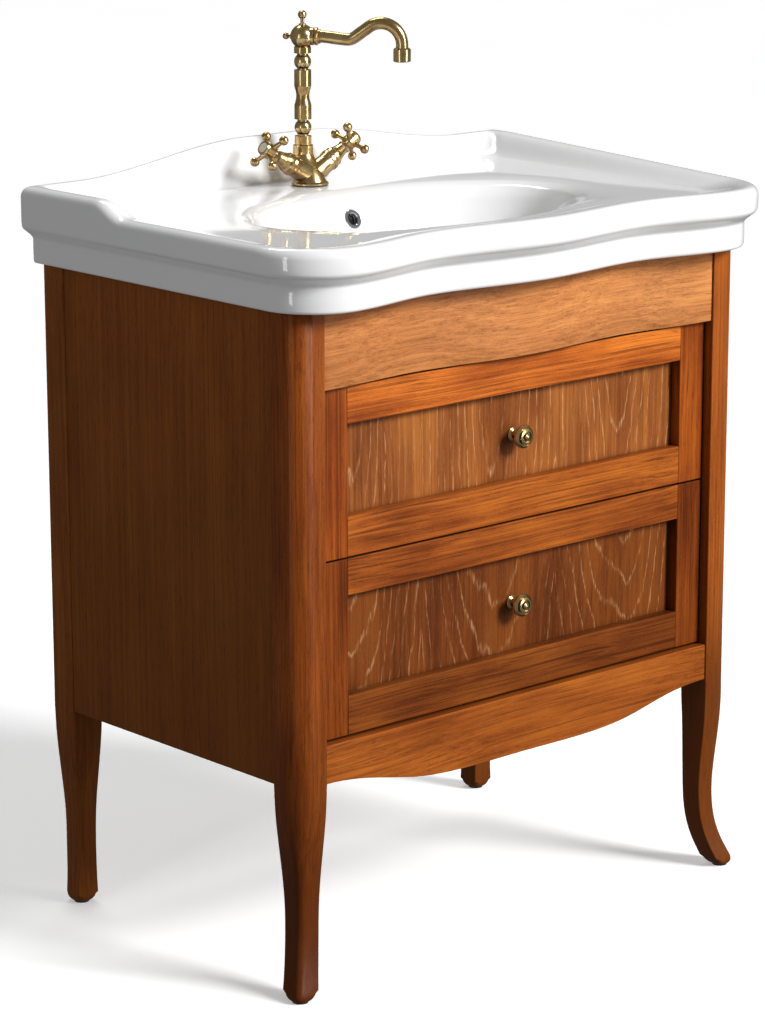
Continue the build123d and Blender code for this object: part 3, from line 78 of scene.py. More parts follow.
class Graph:
    """A material's node tree, with short calls for the nodes used here."""

    def __init__(self, name):
        self.material = bpy.data.materials.new(name)
        self.material.use_nodes = True
        self.tree = self.material.node_tree
        self.shader = self.tree.nodes["Principled BSDF"]
        self.place = self.node("ShaderNodeTexCoord").outputs["Object"]

    def node(self, kind, **settings):
        made = self.tree.nodes.new(kind)
        for key, value in settings.items():
            setattr(made, key, value)
        return made

    def link(self, source, target):
        """Join an output to an input, or set the input's own value."""
        if isinstance(source, bpy.types.NodeSocket):
            self.tree.links.new(source, target)
        else:
            target.default_value = source

    def math(self, operation, a, b=0.0, c=0.0, clamp=False):
        made = self.node("ShaderNodeMath", operation=operation, use_clamp=clamp)
        for value, socket in zip((a, b, c), made.inputs):
            self.link(value, socket)
        return made.outputs[0]

    def scaled(self, source, scale, turn=(0, 0, 0), shift=(0, 0, 0)):
        made = self.node("ShaderNodeMapping")
        self.link(source, made.inputs["Vector"])
        made.inputs["Scale"].default_value = scale
        made.inputs["Rotation"].default_value = turn
        made.inputs["Location"].default_value = shift
        return made.outputs[0]

    def noise(self, source, scale, detail=3.0, rough=0.5, distortion=0.0, shift=(0, 0, 0)):
        """Noise with its own scale on each axis."""
        made = self.node("ShaderNodeTexNoise")
        self.link(self.scaled(source, scale, shift=shift), made.inputs["Vector"])
        made.inputs["Scale"].default_value = 1.0
        made.inputs["Detail"].default_value = detail
        made.inputs["Roughness"].default_value = rough
        made.inputs["Distortion"].default_value = distortion
        return made.outputs["Fac"]

    def even_noise(self, scale, detail=3.0, rough=0.5, shift=0.0):
        """Noise with one scale on all axes."""
        return self.noise(self.place, (scale,) * 3, detail, rough, shift=(shift,) * 3)

    def span(self, value, low, high, to_low=0.0, to_high=1.0):
        """Map a range to another, clamped."""
        made = self.node("ShaderNodeMapRange")
        self.link(value, made.inputs[0])
        for index, number in enumerate((low, high, to_low, to_high), 1):
            self.link(number, made.inputs[index])
        return made.outputs[0]

    def blend(self, share, low, high):
        made = self.node("ShaderNodeMix", data_type="RGBA", blend_type="MIX")
        self.link(share, made.inputs[0])
        for value, socket in ((low, made.inputs[6]), (high, made.inputs[7])):
            if isinstance(value, bpy.types.NodeSocket):
                self.link(value, socket)
            else:
                socket.default_value = (*value, 1.0)
        return made.outputs[2]

    def bump(self, height, distance, strength):
        made = self.node("ShaderNodeBump")
        made.inputs["Strength"].default_value = strength
        made.inputs["Distance"].default_value = distance
        self.link(height, made.inputs["Height"])
        return made.outputs[0]

    def up(self, vector):
        """The Z part of a vector."""
        made = self.node("ShaderNodeSeparateXYZ")
        self.link(vector, made.inputs[0])
        return made.outputs["Z"]

    def edges(self, radius):
        """1 along convex and concave edges, 0 on flats."""
        bevel = self.node("ShaderNodeBevel", samples=4)
        bevel.inputs["Radius"].default_value = radius
        flat = self.node("ShaderNodeNewGeometry").outputs["Normal"]
        dot = self.node("ShaderNodeVectorMath", operation="DOT_PRODUCT")
        self.link(bevel.outputs[0], dot.inputs[0])
        self.link(flat, dot.inputs[1])
        return self.span(dot.outputs["Value"], EDGE_FLAT, EDGE_FULL)

    def hollows(self, distance):
        """1 in recesses, 0 in the open."""
        made = self.node("ShaderNodeAmbientOcclusion", samples=8)
        made.inputs["Distance"].default_value = distance
        return self.span(made.outputs["AO"], HOLLOW_OPEN, HOLLOW_DEEP)

    def set(self, **values):
        for key, value in values.items():
            if isinstance(value, tuple):
                value = (*value, 1.0)
            self.link(value, self.shader.inputs[SHADER_INPUTS[key]])
        return self.material


def assign(names, material):
    for name in names:
        for slot in NODES[name].material_slots:
            slot.material = material
            slot.link = "DATA"


# ---------------------------------------------------------------- wood
GRAIN_TURNS = {"x": (0, math.pi / 2, 0), "z": (0, 0, 0)}
LAYERS = {  # scale across and along the grain, detail, roughness
    "sway": (7, 1.8, 2.0, 0.50),
    "patch": (16, 4.5, 3.0, 0.55),
    "broad": (30, 1.0, 3.0, 0.55),
    "stripe": (260, 1.6, 3.0, 0.70),
    "line": (380, 1.3, 2.0, 0.55),
    "dash": (700, 45, 2.0, 0.60),
    "fibre": (900, 14, 3.0, 0.65),
    "grit": (1300, 420, 2.0, 0.70),
    "pore": (1500, 60, 2.0, 0.60),
}
TONE_SHARES = (  # layer, range of it that counts, share of the tone
    ("stripe", 0.38, 0.62, 0.32),
    ("broad", 0.34, 0.66, 0.26),
    ("fibre", 0.36, 0.64, 0.24),
    ("grit", 0.34, 0.66, 0.18),
)
SEED_STEP = (0.37, 0.61, 0.23)
SWAY_REACH = 0.030
DARKER, LIGHTER = (0.85, 1.0, 1.1), (0.85, 1.25, 1.0)  # each channel's share of the spread
PORE_DEPTH, RECESS_SHADE_DEPTH = 0.28, 0.16  # shares of the wood's own colour, in the pores and in the painted shade of recesses
CLOUD_SPAN = (0.3, 0.7)
DARK_SPAN, LIGHT_SPAN = (0.08, 0.50), (0.50, 0.94)  # of the tone, below and above the middle colour
LINE_SPAN = (0.57, 0.66)
PORE_SPAN, PORE_STRIPES = (0.55, 0.66), (0.64, 0.40)  # pores lie in the dark stripes
PORE_SHARE = 0.75
DASH_SPAN, RING_SPAN, DOT_SPAN = (0.42, 0.58), (0.34, 0.54), (0.60, 0.70)
DOT_SHARE = 0.35
RUBBED_SPAN = (0.35, 0.65)
RUBBED_WIDTH = 0.0020
# painted shade in wide recesses and along joints: the reaches of its two occlusion masks, and their shares
# below
WIDE_HOLLOW, JOINT_HOLLOW = 0.035, 0.007
WIDE_SHADE_SHARE, JOINT_SHADE_SHARE = 0.55, 0.85
FIBRE_RISE, PORE_SINK = 0.4, 0.6  # shares of the wood's bump
WOOD_BUMP = 0.00025

GROWTH_SHIFT = 0.665  # of the rings' axes along X
GROWTH_REACH = 0.105  # from an axis to the turn between two axes
GROWTH_HEIGHT = 0.72  # where the axes meet the face
GROWTH_LEAN = 0.17
GROWTH_SPACING = 0.011
GROWTH_SWAY = 0.055
GROWTH_JITTER = 0.010
JITTER_SCALE = (60, 60, 16)
LINE_HALF = 0.0011


def tones(mean, spread):
    """Darkest, middle, lightest and pore colours round a mean."""
    dark = tuple(c * (1 - share * spread) for c, share in zip(mean, DARKER))
    light = tuple(c * (1 + share * spread) for c, share in zip(mean, LIGHTER))
    return dark, mean, light, shade(mean, PORE_DEPTH)


def growth_lines(g, sway):
    """1 on thin lines where growth rings round leaning axes behind the face cut it, 0 between."""
    parts = g.node("ShaderNodeSeparateXYZ")
    g.link(g.place, parts.inputs[0])
    across = g.math("PINGPONG", g.math("ADD", parts.outputs["X"], GROWTH_SHIFT), GROWTH_REACH)
    behind = g.math("MULTIPLY", g.math("SUBTRACT", GROWTH_HEIGHT, parts.outputs["Z"]), GROWTH_LEAN)
    square = g.math("MULTIPLY_ADD", across, across, g.math("MULTIPLY", behind, behind))
    jitter = g.noise(g.place, JITTER_SCALE, 3.0, 0.6)
    ring = g.math("MULTIPLY_ADD", sway, GROWTH_SWAY, g.math("SQRT", square))
    ring = g.math("MULTIPLY_ADD", jitter, GROWTH_JITTER, ring)
    return g.span(g.math("PINGPONG", ring, GROWTH_SPACING / 2), 0.0, LINE_HALF, 1.0, 0.0)


def wood(name, grain, seed, mean, spread, lined=0.3, flecks=0.0, patched=0.5, shine=0.34, worn=0.3,
         foot=0.0, foot_span=(0.36, 0.12), specular=0.10):
    """Stained open-pored wood with its grain along the given axis.

    lined darkens long thin grain lines, flecks adds pale open pores along growth rings, patched
    clouds the stain, worn rubs the edges light, and foot paints shade that deepens towards the floor
    between foot_span's two heights.
    """
    dark, mid, light, pore = tones(mean, spread)
    g = Graph(name)

    def layer(kind, source):
        across, along, detail, rough = LAYERS[kind]
        return g.noise(source, (across, across, along), detail, rough)

    shift = [seed * step for step in SEED_STEP]
    turned = g.scaled(g.place, (1, 1, 1), turn=GRAIN_TURNS[grain], shift=shift)
    sway = layer("sway", turned)
    swayed = g.node("ShaderNodeVectorMath", operation="MULTIPLY_ADD")
    g.link(sway, swayed.inputs[0])
    swayed.inputs[1].default_value = (SWAY_REACH, SWAY_REACH, 0.0)
    g.link(turned, swayed.inputs[2])
    place = swayed.outputs[0]
    seen = {kind: layer(kind, place) for kind in ("grit", "fibre", "stripe", "line", "broad", "pore")}
    pores = g.math("MULTIPLY", g.span(seen["pore"], *PORE_SPAN), g.span(seen["stripe"], *PORE_STRIPES))

    tone = 0.0
    for kind, low, high, share in TONE_SHARES:
        tone = g.math("MULTIPLY_ADD", g.span(seen[kind], low, high), share, tone)
    clouds = g.span(layer("patch", turned), *CLOUD_SPAN)
    clouds = g.math("MULTIPLY_ADD", clouds, patched, -0.5 * patched)
    tone = g.math("ADD", tone, clouds, clamp=True)
    colour = g.blend(g.span(tone, *DARK_SPAN), dark, mid)
    colour = g.blend(g.span(tone, *LIGHT_SPAN), colour, light)
    colour = g.blend(g.math("MULTIPLY", g.span(seen["line"], *LINE_SPAN), lined), colour, pore)
    colour = g.blend(g.math("MULTIPLY", pores, PORE_SHARE), colour, pore)
    if flecks:
        dashes = g.span(layer("dash", place), *DASH_SPAN)
        rings = g.math("MULTIPLY", growth_lines(g, sway), g.span(seen["broad"], *RING_SPAN))
        dots = g.math("MULTIPLY", g.span(seen["pore"], *DOT_SPAN), DOT_SHARE)
        fleck = g.math("MAXIMUM", g.math("MULTIPLY", rings, dashes), dots)
        colour = g.blend(g.math("MULTIPLY", fleck, flecks), colour, FLECK)

    rubbed = g.math("MULTIPLY", g.edges(RUBBED_WIDTH), g.span(seen["fibre"], *RUBBED_SPAN))
    colour = g.blend(g.math("MULTIPLY", rubbed, worn), colour, light)
    # painted shade: darker in wide recesses and along joints, where less light reaches
    wide_shade = g.math("MULTIPLY", g.hollows(WIDE_HOLLOW), WIDE_SHADE_SHARE)
    joint_shade = g.math("MULTIPLY", g.hollows(JOINT_HOLLOW), JOINT_SHADE_SHARE)
    colour = g.blend(g.math("MAXIMUM", wide_shade, joint_shade), colour, shade(mean, RECESS_SHADE_DEPTH))
    # painted shade: darker towards the floor, where less light falls low down
    if foot:
        colour = g.blend(g.span(g.up(g.place), *foot_span, 0.0, foot), colour, pore)
    sink = g.math("MULTIPLY", pores, PORE_SINK)
    height = g.math("SUBTRACT", g.math("MULTIPLY", seen["fibre"], FIBRE_RISE), sink)
    gloss = g.span(seen["fibre"], 0.3, 0.7, shine + 0.10, shine - 0.03)
    return g.set(color=colour, rough=gloss, normal=g.bump(height, WOOD_BUMP, 0.5), specular=specular)


FLECK = (0.66, 0.37, 0.17)
POST = (0.228, 0.052, 0.007)
RIGHT_POST = (0.340, 0.084, 0.011)
RAIL = (0.400, 0.095, 0.013)
STILE = (0.255, 0.052, 0.006)
FASCIA = (0.530, 0.198, 0.062)
APRON = (0.300, 0.075, 0.010)
# painted shade: the lower panel's colour is darker than the upper's, as less light falls lower down
UPPER_PANEL = (0.270, 0.078, 0.016)
LOWER_PANEL = (0.145, 0.034, 0.005)
SIDE = (0.250, 0.072, 0.013)
RAIL_SHADE_STEPS = (1.15, 0.76, 0.72, 0.42)  # painted shade: each rail's share of the rail colour, from the top, darker lower down where less light falls
STILE_SHADE_STEPS = (1.0, 0.68)  # painted shade: each drawer's share of the stile colour, from the top, darker lower down where less light falls

DRAWERS = ("upper", "lower")
# the foot settings of these looks paint shade that deepens towards the floor
SIDE_LOOK = dict(lined=0.2, foot=0.35, foot_span=(0.75, 0.25), shine=0.45, specular=0.06)
RIGHT_LOOK = dict(lined=0.35, foot=0.8, foot_span=(0.40, 0.24))
FASCIA_LOOK = dict(lined=0.25, patched=0.35, shine=0.36, worn=0.15)
RIGHT_POSTS = ["front_right_post", "rear_right_post"]
CABINET_WOODS = (  # nodes, material's name, grain, seed, colour, spread, look
    (["front_left_post"], "post_left", "z", 1.0, POST, 0.50, dict(lined=0.4, foot=0.8)),
    (["rear_left_post"], "post_rear_left", "z", 2.5, SIDE, 0.35, dict(foot=0.25, specular=0.06)),
    (RIGHT_POSTS, "post_right", "z", 4.0, RIGHT_POST, 0.45, RIGHT_LOOK),
    (["left_side_panel"], "side_left", "z", 7.0, SIDE, 0.25, SIDE_LOOK),
    (["right_side_panel"], "side_right", "z", 9.0, SIDE, 0.25, SIDE_LOOK),
    (["front_fascia"], "fascia", "x", 2.0, FASCIA, 0.35, FASCIA_LOOK),
    (["front_apron"], "apron", "x", 3.0, APRON, 0.5, dict(lined=0.45, patched=0.6)),
)
for nodes, name, grain, seed, mean, spread, look in CABINET_WOODS:
    assign(nodes, wood(name, grain, seed, mean, spread, **look))
for number, drawer in enumerate(DRAWERS):
    mean = shade(STILE, STILE_SHADE_STEPS[number])
    made = wood(f"{drawer}_stiles", "z", 11.0 + number, mean, 0.60, lined=0.6, patched=0.7)
    assign([f"{drawer}_drawer_stiles"], made)
    for step, rail in enumerate(("top_rail", "bottom_rail")):
        place = 2 * number + step
        mean = shade(RAIL, RAIL_SHADE_STEPS[place])
        made = wood(f"{drawer}_{rail}", "x", 13.0 + place, mean, 0.62, lined=0.65, patched=0.8)
        assign([f"{drawer}_drawer_{rail}"], made)
for drawer, mean, seed, pale in (("upper", UPPER_PANEL, 17.0, 0.65), ("lower", LOWER_PANEL, 18.0, 0.42)):
    look = dict(lined=0.35, flecks=pale, patched=0.9, shine=0.38)
    made = wood(f"{drawer}_panel", "z", seed, mean, 0.45, **look)
    assign([f"{drawer}_drawer_front_panel"], made)


PLAIN_DARK, PLAIN_LIGHT = (0.36, 0.21, 0.11), (0.60, 0.41, 0.24)
PLAIN_SHIFT = (5.0, 3.5, 0)


def plain_wood():
    """Pale unstained wood of the hidden parts."""
    g = Graph("hidden_wood")
    turned = g.scaled(g.place, (1, 1, 1), turn=GRAIN_TURNS["x"], shift=PLAIN_SHIFT)
    fibre = g.noise(turned, (300, 300, 8), 4.0, 0.6)
    broad = g.noise(turned, (30, 30, 1.5), 3.0, 0.6, distortion=1.0)
    tone = g.math("ADD", g.math("MULTIPLY", fibre, 0.4), g.math("MULTIPLY", broad, 0.6))
    colour = g.blend(g.span(tone, 0.3, 0.7), PLAIN_DARK, PLAIN_LIGHT)
    return g.set(color=colour, rough=g.span(fibre, 0.3, 0.7, 0.62, 0.5), normal=g.bump(fibre, 0.0002, 0.5))


hidden = ["bottom_board", "corner_blocks", "rear_top_rail", "runner_battens", "upper_drawer_liner"]
hidden += [f"{drawer}_drawer_{part}" for drawer in DRAWERS for part in ("sides", "back", "bottom")]
assign(hidden, plain_wood())


# ---------------------------------------------------------------- metals and small pieces
BRASS_DARK, BRASS_LIGHT = (0.500, 0.325, 0.125), (0.740, 0.570, 0.270)
BRASS_EDGE = (0.95, 0.82, 0.54)
# painted shade colours: the first in recesses, the second on faces turned downwards
BRASS_RECESS_SHADE = (0.070, 0.032, 0.018)
BRASS_UNDERSIDE_SHADE = (0.150, 0.075, 0.045)
BRASS_EDGE_WIDTH, BRASS_EDGE_SHARE = 0.0009, 0.5
BRASS_HOLLOW, BRASS_RECESS_SHADE_SHARE = 0.012, 0.92
BRASS_DOWNWARD, BRASS_UNDERSIDE_SHADE_SHARE = (-0.05, -0.60), 0.85  # painted shade on downward faces: range of the normal's Z part
BRASS_CLOUD_SPAN = (0.38, 0.64)
BRASS_RECESS_ROUGH = 0.15


def aged_brass(name, seed=0.0):
    """Brushed brass with painted shade underneath and in its recesses, and rubbed bright on its edges."""
    g = Graph(name)
    cloud = g.even_noise(45, 3.0, 0.55, shift=seed)
    brush = g.noise(g.place, (240, 240, 2400), 2.0, 0.6)
    colour = g.blend(g.span(cloud, *BRASS_CLOUD_SPAN), BRASS_DARK, BRASS_LIGHT)
    rubbed = g.math("MULTIPLY", g.edges(BRASS_EDGE_WIDTH), BRASS_EDGE_SHARE)
    colour = g.blend(rubbed, colour, BRASS_EDGE)
    # painted shade in recesses; the same mask also roughens the brass there
    recess_shade = g.hollows(BRASS_HOLLOW)
    colour = g.blend(g.math("MULTIPLY", recess_shade, BRASS_RECESS_SHADE_SHARE), colour, BRASS_RECESS_SHADE)
    # painted shade on faces turned downwards
    facing = g.up(g.node("ShaderNodeNewGeometry").outputs["Normal"])
    under = g.span(facing, *BRASS_DOWNWARD, 0.0, BRASS_UNDERSIDE_SHADE_SHARE)
    colour = g.blend(under, colour, BRASS_UNDERSIDE_SHADE)
    streaks = g.math("MULTIPLY_ADD", brush, 0.06, -0.03)
    rough = g.math("ADD", g.span(cloud, 0.35, 0.65, 0.25, 0.19), streaks)
    rough = g.math("ADD", rough, g.math("MULTIPLY", recess_shade, BRASS_RECESS_ROUGH))
    return g.set(color=colour, metal=1.0, rough=rough, normal=g.bump(brush, 0.00001, 0.15))


def metal(name, low, high, rough):
    """Bare metal, clouded between two colours."""
    g = Graph(name)
    cloud = g.even_noise(90, 4.0, 0.6)
    fine = g.even_noise(900, 2.0, 0.6)
    gloss = g.span(fine, 0.3, 0.7, rough * 0.8, rough * 1.3)
    return g.set(color=g.blend(cloud, low, high), metal=1.0, rough=gloss, normal=g.bump(fine, 0.00002, 0.3))


def dull(name, low, high, rough):
    """Rubber or enamel, mottled finely between two colours."""
    g = Graph(name)
    fine = g.even_noise(300, 3.0, 0.6)
    gloss = g.span(fine, 0.3, 0.7, rough, rough * 0.8)
    return g.set(color=g.blend(fine, low, high), rough=gloss, normal=g.bump(fine, 0.0001, 0.4))


TAP_STARTS = ("tap_body", "tap_column", "spout")
TAP_ENDS = ("bonnet", "handle")
WASTE = ["waste_body", "waste_plug", "waste_nut", "trap_head", "trap_cup", "trap_outlet"]
tap = [n for n in NODES if n.startswith(TAP_STARTS) or n.endswith(TAP_ENDS)]
assign(tap, aged_brass("aged_brass_tap"))
assign([f"{drawer}_drawer_knob" for drawer in DRAWERS], aged_brass("aged_brass_knob", 3.0))
chrome = metal("chrome", (0.62, 0.63, 0.65), (0.74, 0.75, 0.77), 0.10)
assign(["overflow_ring", *WASTE], chrome)
steel = metal("zinc_steel", (0.42, 0.43, 0.45), (0.58, 0.59, 0.60), 0.36)
assign([n for n in NODES if "_runners_" in n or n.endswith("knob_screw")], steel)
assign(["tap_nut"], metal("plain_brass", (0.45, 0.32, 0.13), (0.60, 0.45, 0.21), 0.3))
rubber = dull("black_rubber", (0.012, 0.012, 0.012), (0.03, 0.03, 0.03), 0.7)
assign(["tap_gasket", "foot_glides"], rubber)
assign(["left_index", "right_index"], dull("index_enamel", (0.72, 0.62, 0.44), (0.82, 0.72, 0.54), 0.3))


# ---------------------------------------------------------------- glazed basin
RING_LOW, RING_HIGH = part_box("overflow_ring")
RING_TILT = math.radians(24.9)
RING_AXIS = Vector((0, -math.cos(RING_TILT), math.sin(RING_TILT)))
RING_MIDDLE = (Vector(RING_LOW) + Vector(RING_HIGH)) / 2
RING_SEAT = 0.0012  # of the wall under the ring's lip, from the ring's middle
RING_REACH = 0.0135  # of the flat seat, from the ring's axis
RING_DEEPEST = -0.0065  # of the wall's points that the seat moves
PASSAGE_DEPTH = 0.0055
PASSAGE_RADIUS = 0.0092
PASSAGE = RING_MIDDLE - PASSAGE_DEPTH * RING_AXIS
GLAZE_COOL, GLAZE_WARM = (0.825, 0.830, 0.835), (0.860, 0.860, 0.855)
PASSAGE_SHADOW = (0.010, 0.010, 0.011)
PASSAGE_SHADOW_EDGE = (0.0082, 0.0074)  # from the passage's middle, where the glaze colour ends and the painted shadow starts


def glaze():
    """White glaze, with a painted shadow in the overflow passage."""
    g = Graph("glazed_ceramic")
    wave = g.even_noise(9, 2.0, 0.5)
    peel = g.even_noise(120, 2.0, 0.5)
    tint = g.even_noise(3, 2.0, 0.5)
    reach = g.node("ShaderNodeVectorMath", operation="DISTANCE")
    g.link(g.place, reach.inputs[0])
    reach.inputs[1].default_value = PASSAGE
    colour = g.blend(tint, GLAZE_COOL, GLAZE_WARM)
    # painted shadow: near black round the overflow passage's middle
    colour = g.blend(g.span(reach.outputs["Value"], *PASSAGE_SHADOW_EDGE), colour, PASSAGE_SHADOW)
    height = g.math("ADD", wave, g.math("MULTIPLY", peel, 0.02))
    gloss = g.span(peel, 0.3, 0.7, 0.09, 0.06)
    normal = g.bump(height, 0.0012, 0.25)
    return g.set(color=colour, rough=gloss, normal=normal, coat=0.35, coat_rough=0.03, specular=0.55)


def smooth(share):
    """S curve from 0 to 1."""
    share = np.clip(share, 0.0, 1.0)
    return (1 - np.cos(math.pi * share)) / 2


# heights from the floor, and the plan
HALF_X, WALL_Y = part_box("basin")[1][:2]
RIM_Z = 0.850
DECK_Z = 0.8405
UNDERSIDE_Z = 0.820
CABINET_TOP = 0.778
CORNER, BACK_CORNER, LEAST_CORNER = 0.085, 0.004, 0.012
FRONT_DIP_X, FRONT_DIP, FRONT_MIDDLE = 0.175, 0.019, 0.004
FRONT_POINTS, CORNER_STEPS, SIDE_STEPS = 121, 24, 90
BACK_CORNER_STEPS, BACK_STEPS = 10, 120
# outside, from the skirt inside the cabinet up to the rim
SKIRT, SKIRT_BACK = 0.050, 0.028
BAND = 0.020  # inset of the lower band
COVE, COVE_STEPS = 0.004, 5
UPPER_BAND = 0.0158  # inset of the upper band's foot
BAND_TOP, STEP_FOOT, STEP_RISE, EDGE_TOP = 0.796, 0.806, 0.018, 0.829
STEP_DEPTH, STEP_STEPS = 0.0154, 14
# rim, its wings and its crown at the back
RIM_FOOT = 0.834
RIM_RADIUS, RIM_STEPS = 0.011, 8
RIM_FLATS = (  # inset, inset at the back, back corner, rise over the rim
    (0.015, 0.009, 0.006, 0.0002),
    (0.018, 0.012, 0.008, -0.0004),
)
WING_RISE = 0.018
LEFT_WING_Y, LEFT_WING_RUN = 0.064, 0.052
RIGHT_WING_Y, RIGHT_WING_RUN = -0.180, 0.402
WING_BLEND = 0.20
CROWN_RISE = 0.028
CROWN_FLAT, CROWN_FALL = 0.045, 0.260
CROWN_Y, CROWN_RUN = 0.12, 0.08
# deck, bowl and drain
DECK_EDGE = dict(front=0.066, side=0.054, back=0.030, front_radius=0.046, back_radius=0.034)
FALL_STEPS = 24  # from the rim to the deck
BOWL_Y = -0.012
BOWL_A, BOWL_B = 0.228, 0.145
BOWL_FALL = 0.1365
BOWL_WALL = 0.011
BOWL_FLOOR = 0.704
BOWL_START = 0.05  # share of the bowl's fall where its wall starts
BOWL_SHAPE = (  # share of the fall, and the half length and half depth in shares of the mouth's
    (0.0, 1.0, 1.0),
    (0.05, 0.968, 0.915),
    (0.12, 0.935, 0.83),
    (0.35, 0.86, 0.725),
    (0.65, 0.69, 0.60),
    (0.88, 0.42, 0.44),
    (1.0, 0.184, 0.29),
)
BOWL_POINTS, BOWL_BLUR = 201, 23  # of the section, and how many of them its smoothing spans
LIP_A, LIP_B = BOWL_A * 1.040, BOWL_B * 1.055
LIP_DROP, LIP_START, LIP_RUN = 0.0028, 0.72, 0.5  # the last two in shares of the way over the deck
LIP_STEPS = 8
UNDER_DRAIN = (0.021, 0.052)  # radii below the bowl's floor
UNDER_EDGE_A, UNDER_EDGE_B = 0.006, 0.004  # of the flat underside, out from the bowl's wall
DRAIN = (  # radii and heights
    (0.038, 0.7042),
    (0.030, 0.7041),
    (0.0222, 0.7036),
    (0.0216, 0.698),
    (0.0212, 0.694),
)


def bowl_section():
    """The bowl's shape, smoothed: shares of its fall, half lengths and half depths."""
    share, lengths, depths = np.array(BOWL_SHAPE).T
    fine = np.linspace(0, 1, BOWL_POINTS)
    kernel = np.hanning(BOWL_BLUR)
    kernel /= kernel.sum()
    pad = len(kernel) // 2

    def smoothed(values):
        padded = np.pad(np.interp(fine, share, values), pad, mode="reflect", reflect_type="odd")
        return np.convolve(padded, kernel, "valid")

    return fine, smoothed(lengths), smoothed(depths)


BOWL_SHARES, BOWL_LENGTHS, BOWL_DEPTHS = bowl_section()


def bowl_at(share, wall=0.0):
    """Half axes of the bowl at a share of its fall, wall further out."""
    return (np.interp(share, BOWL_SHARES, BOWL_LENGTHS) * BOWL_A + wall,
            np.interp(share, BOWL_SHARES, BOWL_DEPTHS) * BOWL_B + wall)


def cubic_front(x, end_x, end_y):
    """The serpentine front edge: level at its ends, with two dips, forward in the middle."""
    knots = np.array([-end_x, -FRONT_DIP_X, 0.0, FRONT_DIP_X, end_x])
    values = end_y + np.array([0.0, FRONT_DIP, FRONT_MIDDLE, FRONT_DIP, 0.0])
    count, gaps = len(knots), np.diff(knots)
    system, right = np.zeros((count, count)), np.zeros(count)
    system[0, 0] = system[-1, -1] = 1.0
    for i in range(1, count - 1):
        system[i, i - 1 : i + 2] = 1 / gaps[i - 1], 2 / gaps[i - 1] + 2 / gaps[i], 1 / gaps[i]
        before = (values[i] - values[i - 1]) / gaps[i - 1] ** 2
        after = (values[i + 1] - values[i]) / gaps[i] ** 2
        right[i] = 3 * (before + after)
    slopes = np.linalg.solve(system, right)
    cell = np.clip(np.searchsorted(knots, x) - 1, 0, count - 2)
    t = (x - knots[cell]) / gaps[cell]
    return ((1 + 2 * t) * (1 - t) ** 2 * values[cell] + t * (1 - t) ** 2 * gaps[cell] * slopes[cell]
            + t**2 * (3 - 2 * t) * values[cell + 1] + t**2 * (t - 1) * gaps[cell] * slopes[cell + 1])


def outline(front, side, back, front_radius, back_radius):
    """Closed loop of plan points, inset by the given distances. Every loop has the same count."""
    half, low, high = HALF_X - side, -WALL_Y + front, WALL_Y - back
    x = np.linspace(-(half - front_radius), half - front_radius, FRONT_POINTS)
    loop = [np.stack([x, cubic_front(x, half - front_radius, low)], 1)]

    def arc(centre, radius, start, steps):
        angle = np.radians(np.linspace(start, start + 90, steps + 1)[1:])
        turned = np.stack([np.cos(angle), np.sin(angle)], 1)
        loop.append(np.array(centre) + radius * turned)

    def run(a, b, steps):
        share = np.linspace(0, 1, steps + 1)[1:, None]
        loop.append(np.array(a) * (1 - share) + np.array(b) * share)

    arc((half - front_radius, low + front_radius), front_radius, -90, CORNER_STEPS)
    run((half, low + front_radius), (half, high - back_radius), SIDE_STEPS)
    arc((half - back_radius, high - back_radius), back_radius, 0, BACK_CORNER_STEPS)
    run((half - back_radius, high), (-half + back_radius, high), BACK_STEPS)
    arc((-half + back_radius, high - back_radius), back_radius, 90, BACK_CORNER_STEPS)
    run((-half, high - back_radius), (-half, low + front_radius), SIDE_STEPS)
    arc((-half + front_radius, low + front_radius), front_radius, 180, CORNER_STEPS)
    return np.concatenate(loop)[:-1]


def rim_height(points):
    """Height of the rim over each plan point: S up to the wings, S up to the crown at the back."""
    left = smooth((points[:, 1] - LEFT_WING_Y) / LEFT_WING_RUN)
    right = np.clip((points[:, 1] - RIGHT_WING_Y) / RIGHT_WING_RUN, 0, 1)
    wing = left + (right - left) * smooth((points[:, 0] + WING_BLEND) / (2 * WING_BLEND))
    crown = 1 - smooth((np.abs(points[:, 0]) - CROWN_FLAT) / CROWN_FALL)
    return RIM_Z + WING_RISE * wing + CROWN_RISE * crown * smooth((points[:, 1] - CROWN_Y) / CROWN_RUN)


def deck_height(share):
    """Height of the deck at a share of the way from its edge to the bowl's soft lip."""
    return DECK_Z - LIP_DROP * smooth((share - LIP_START) / LIP_RUN)


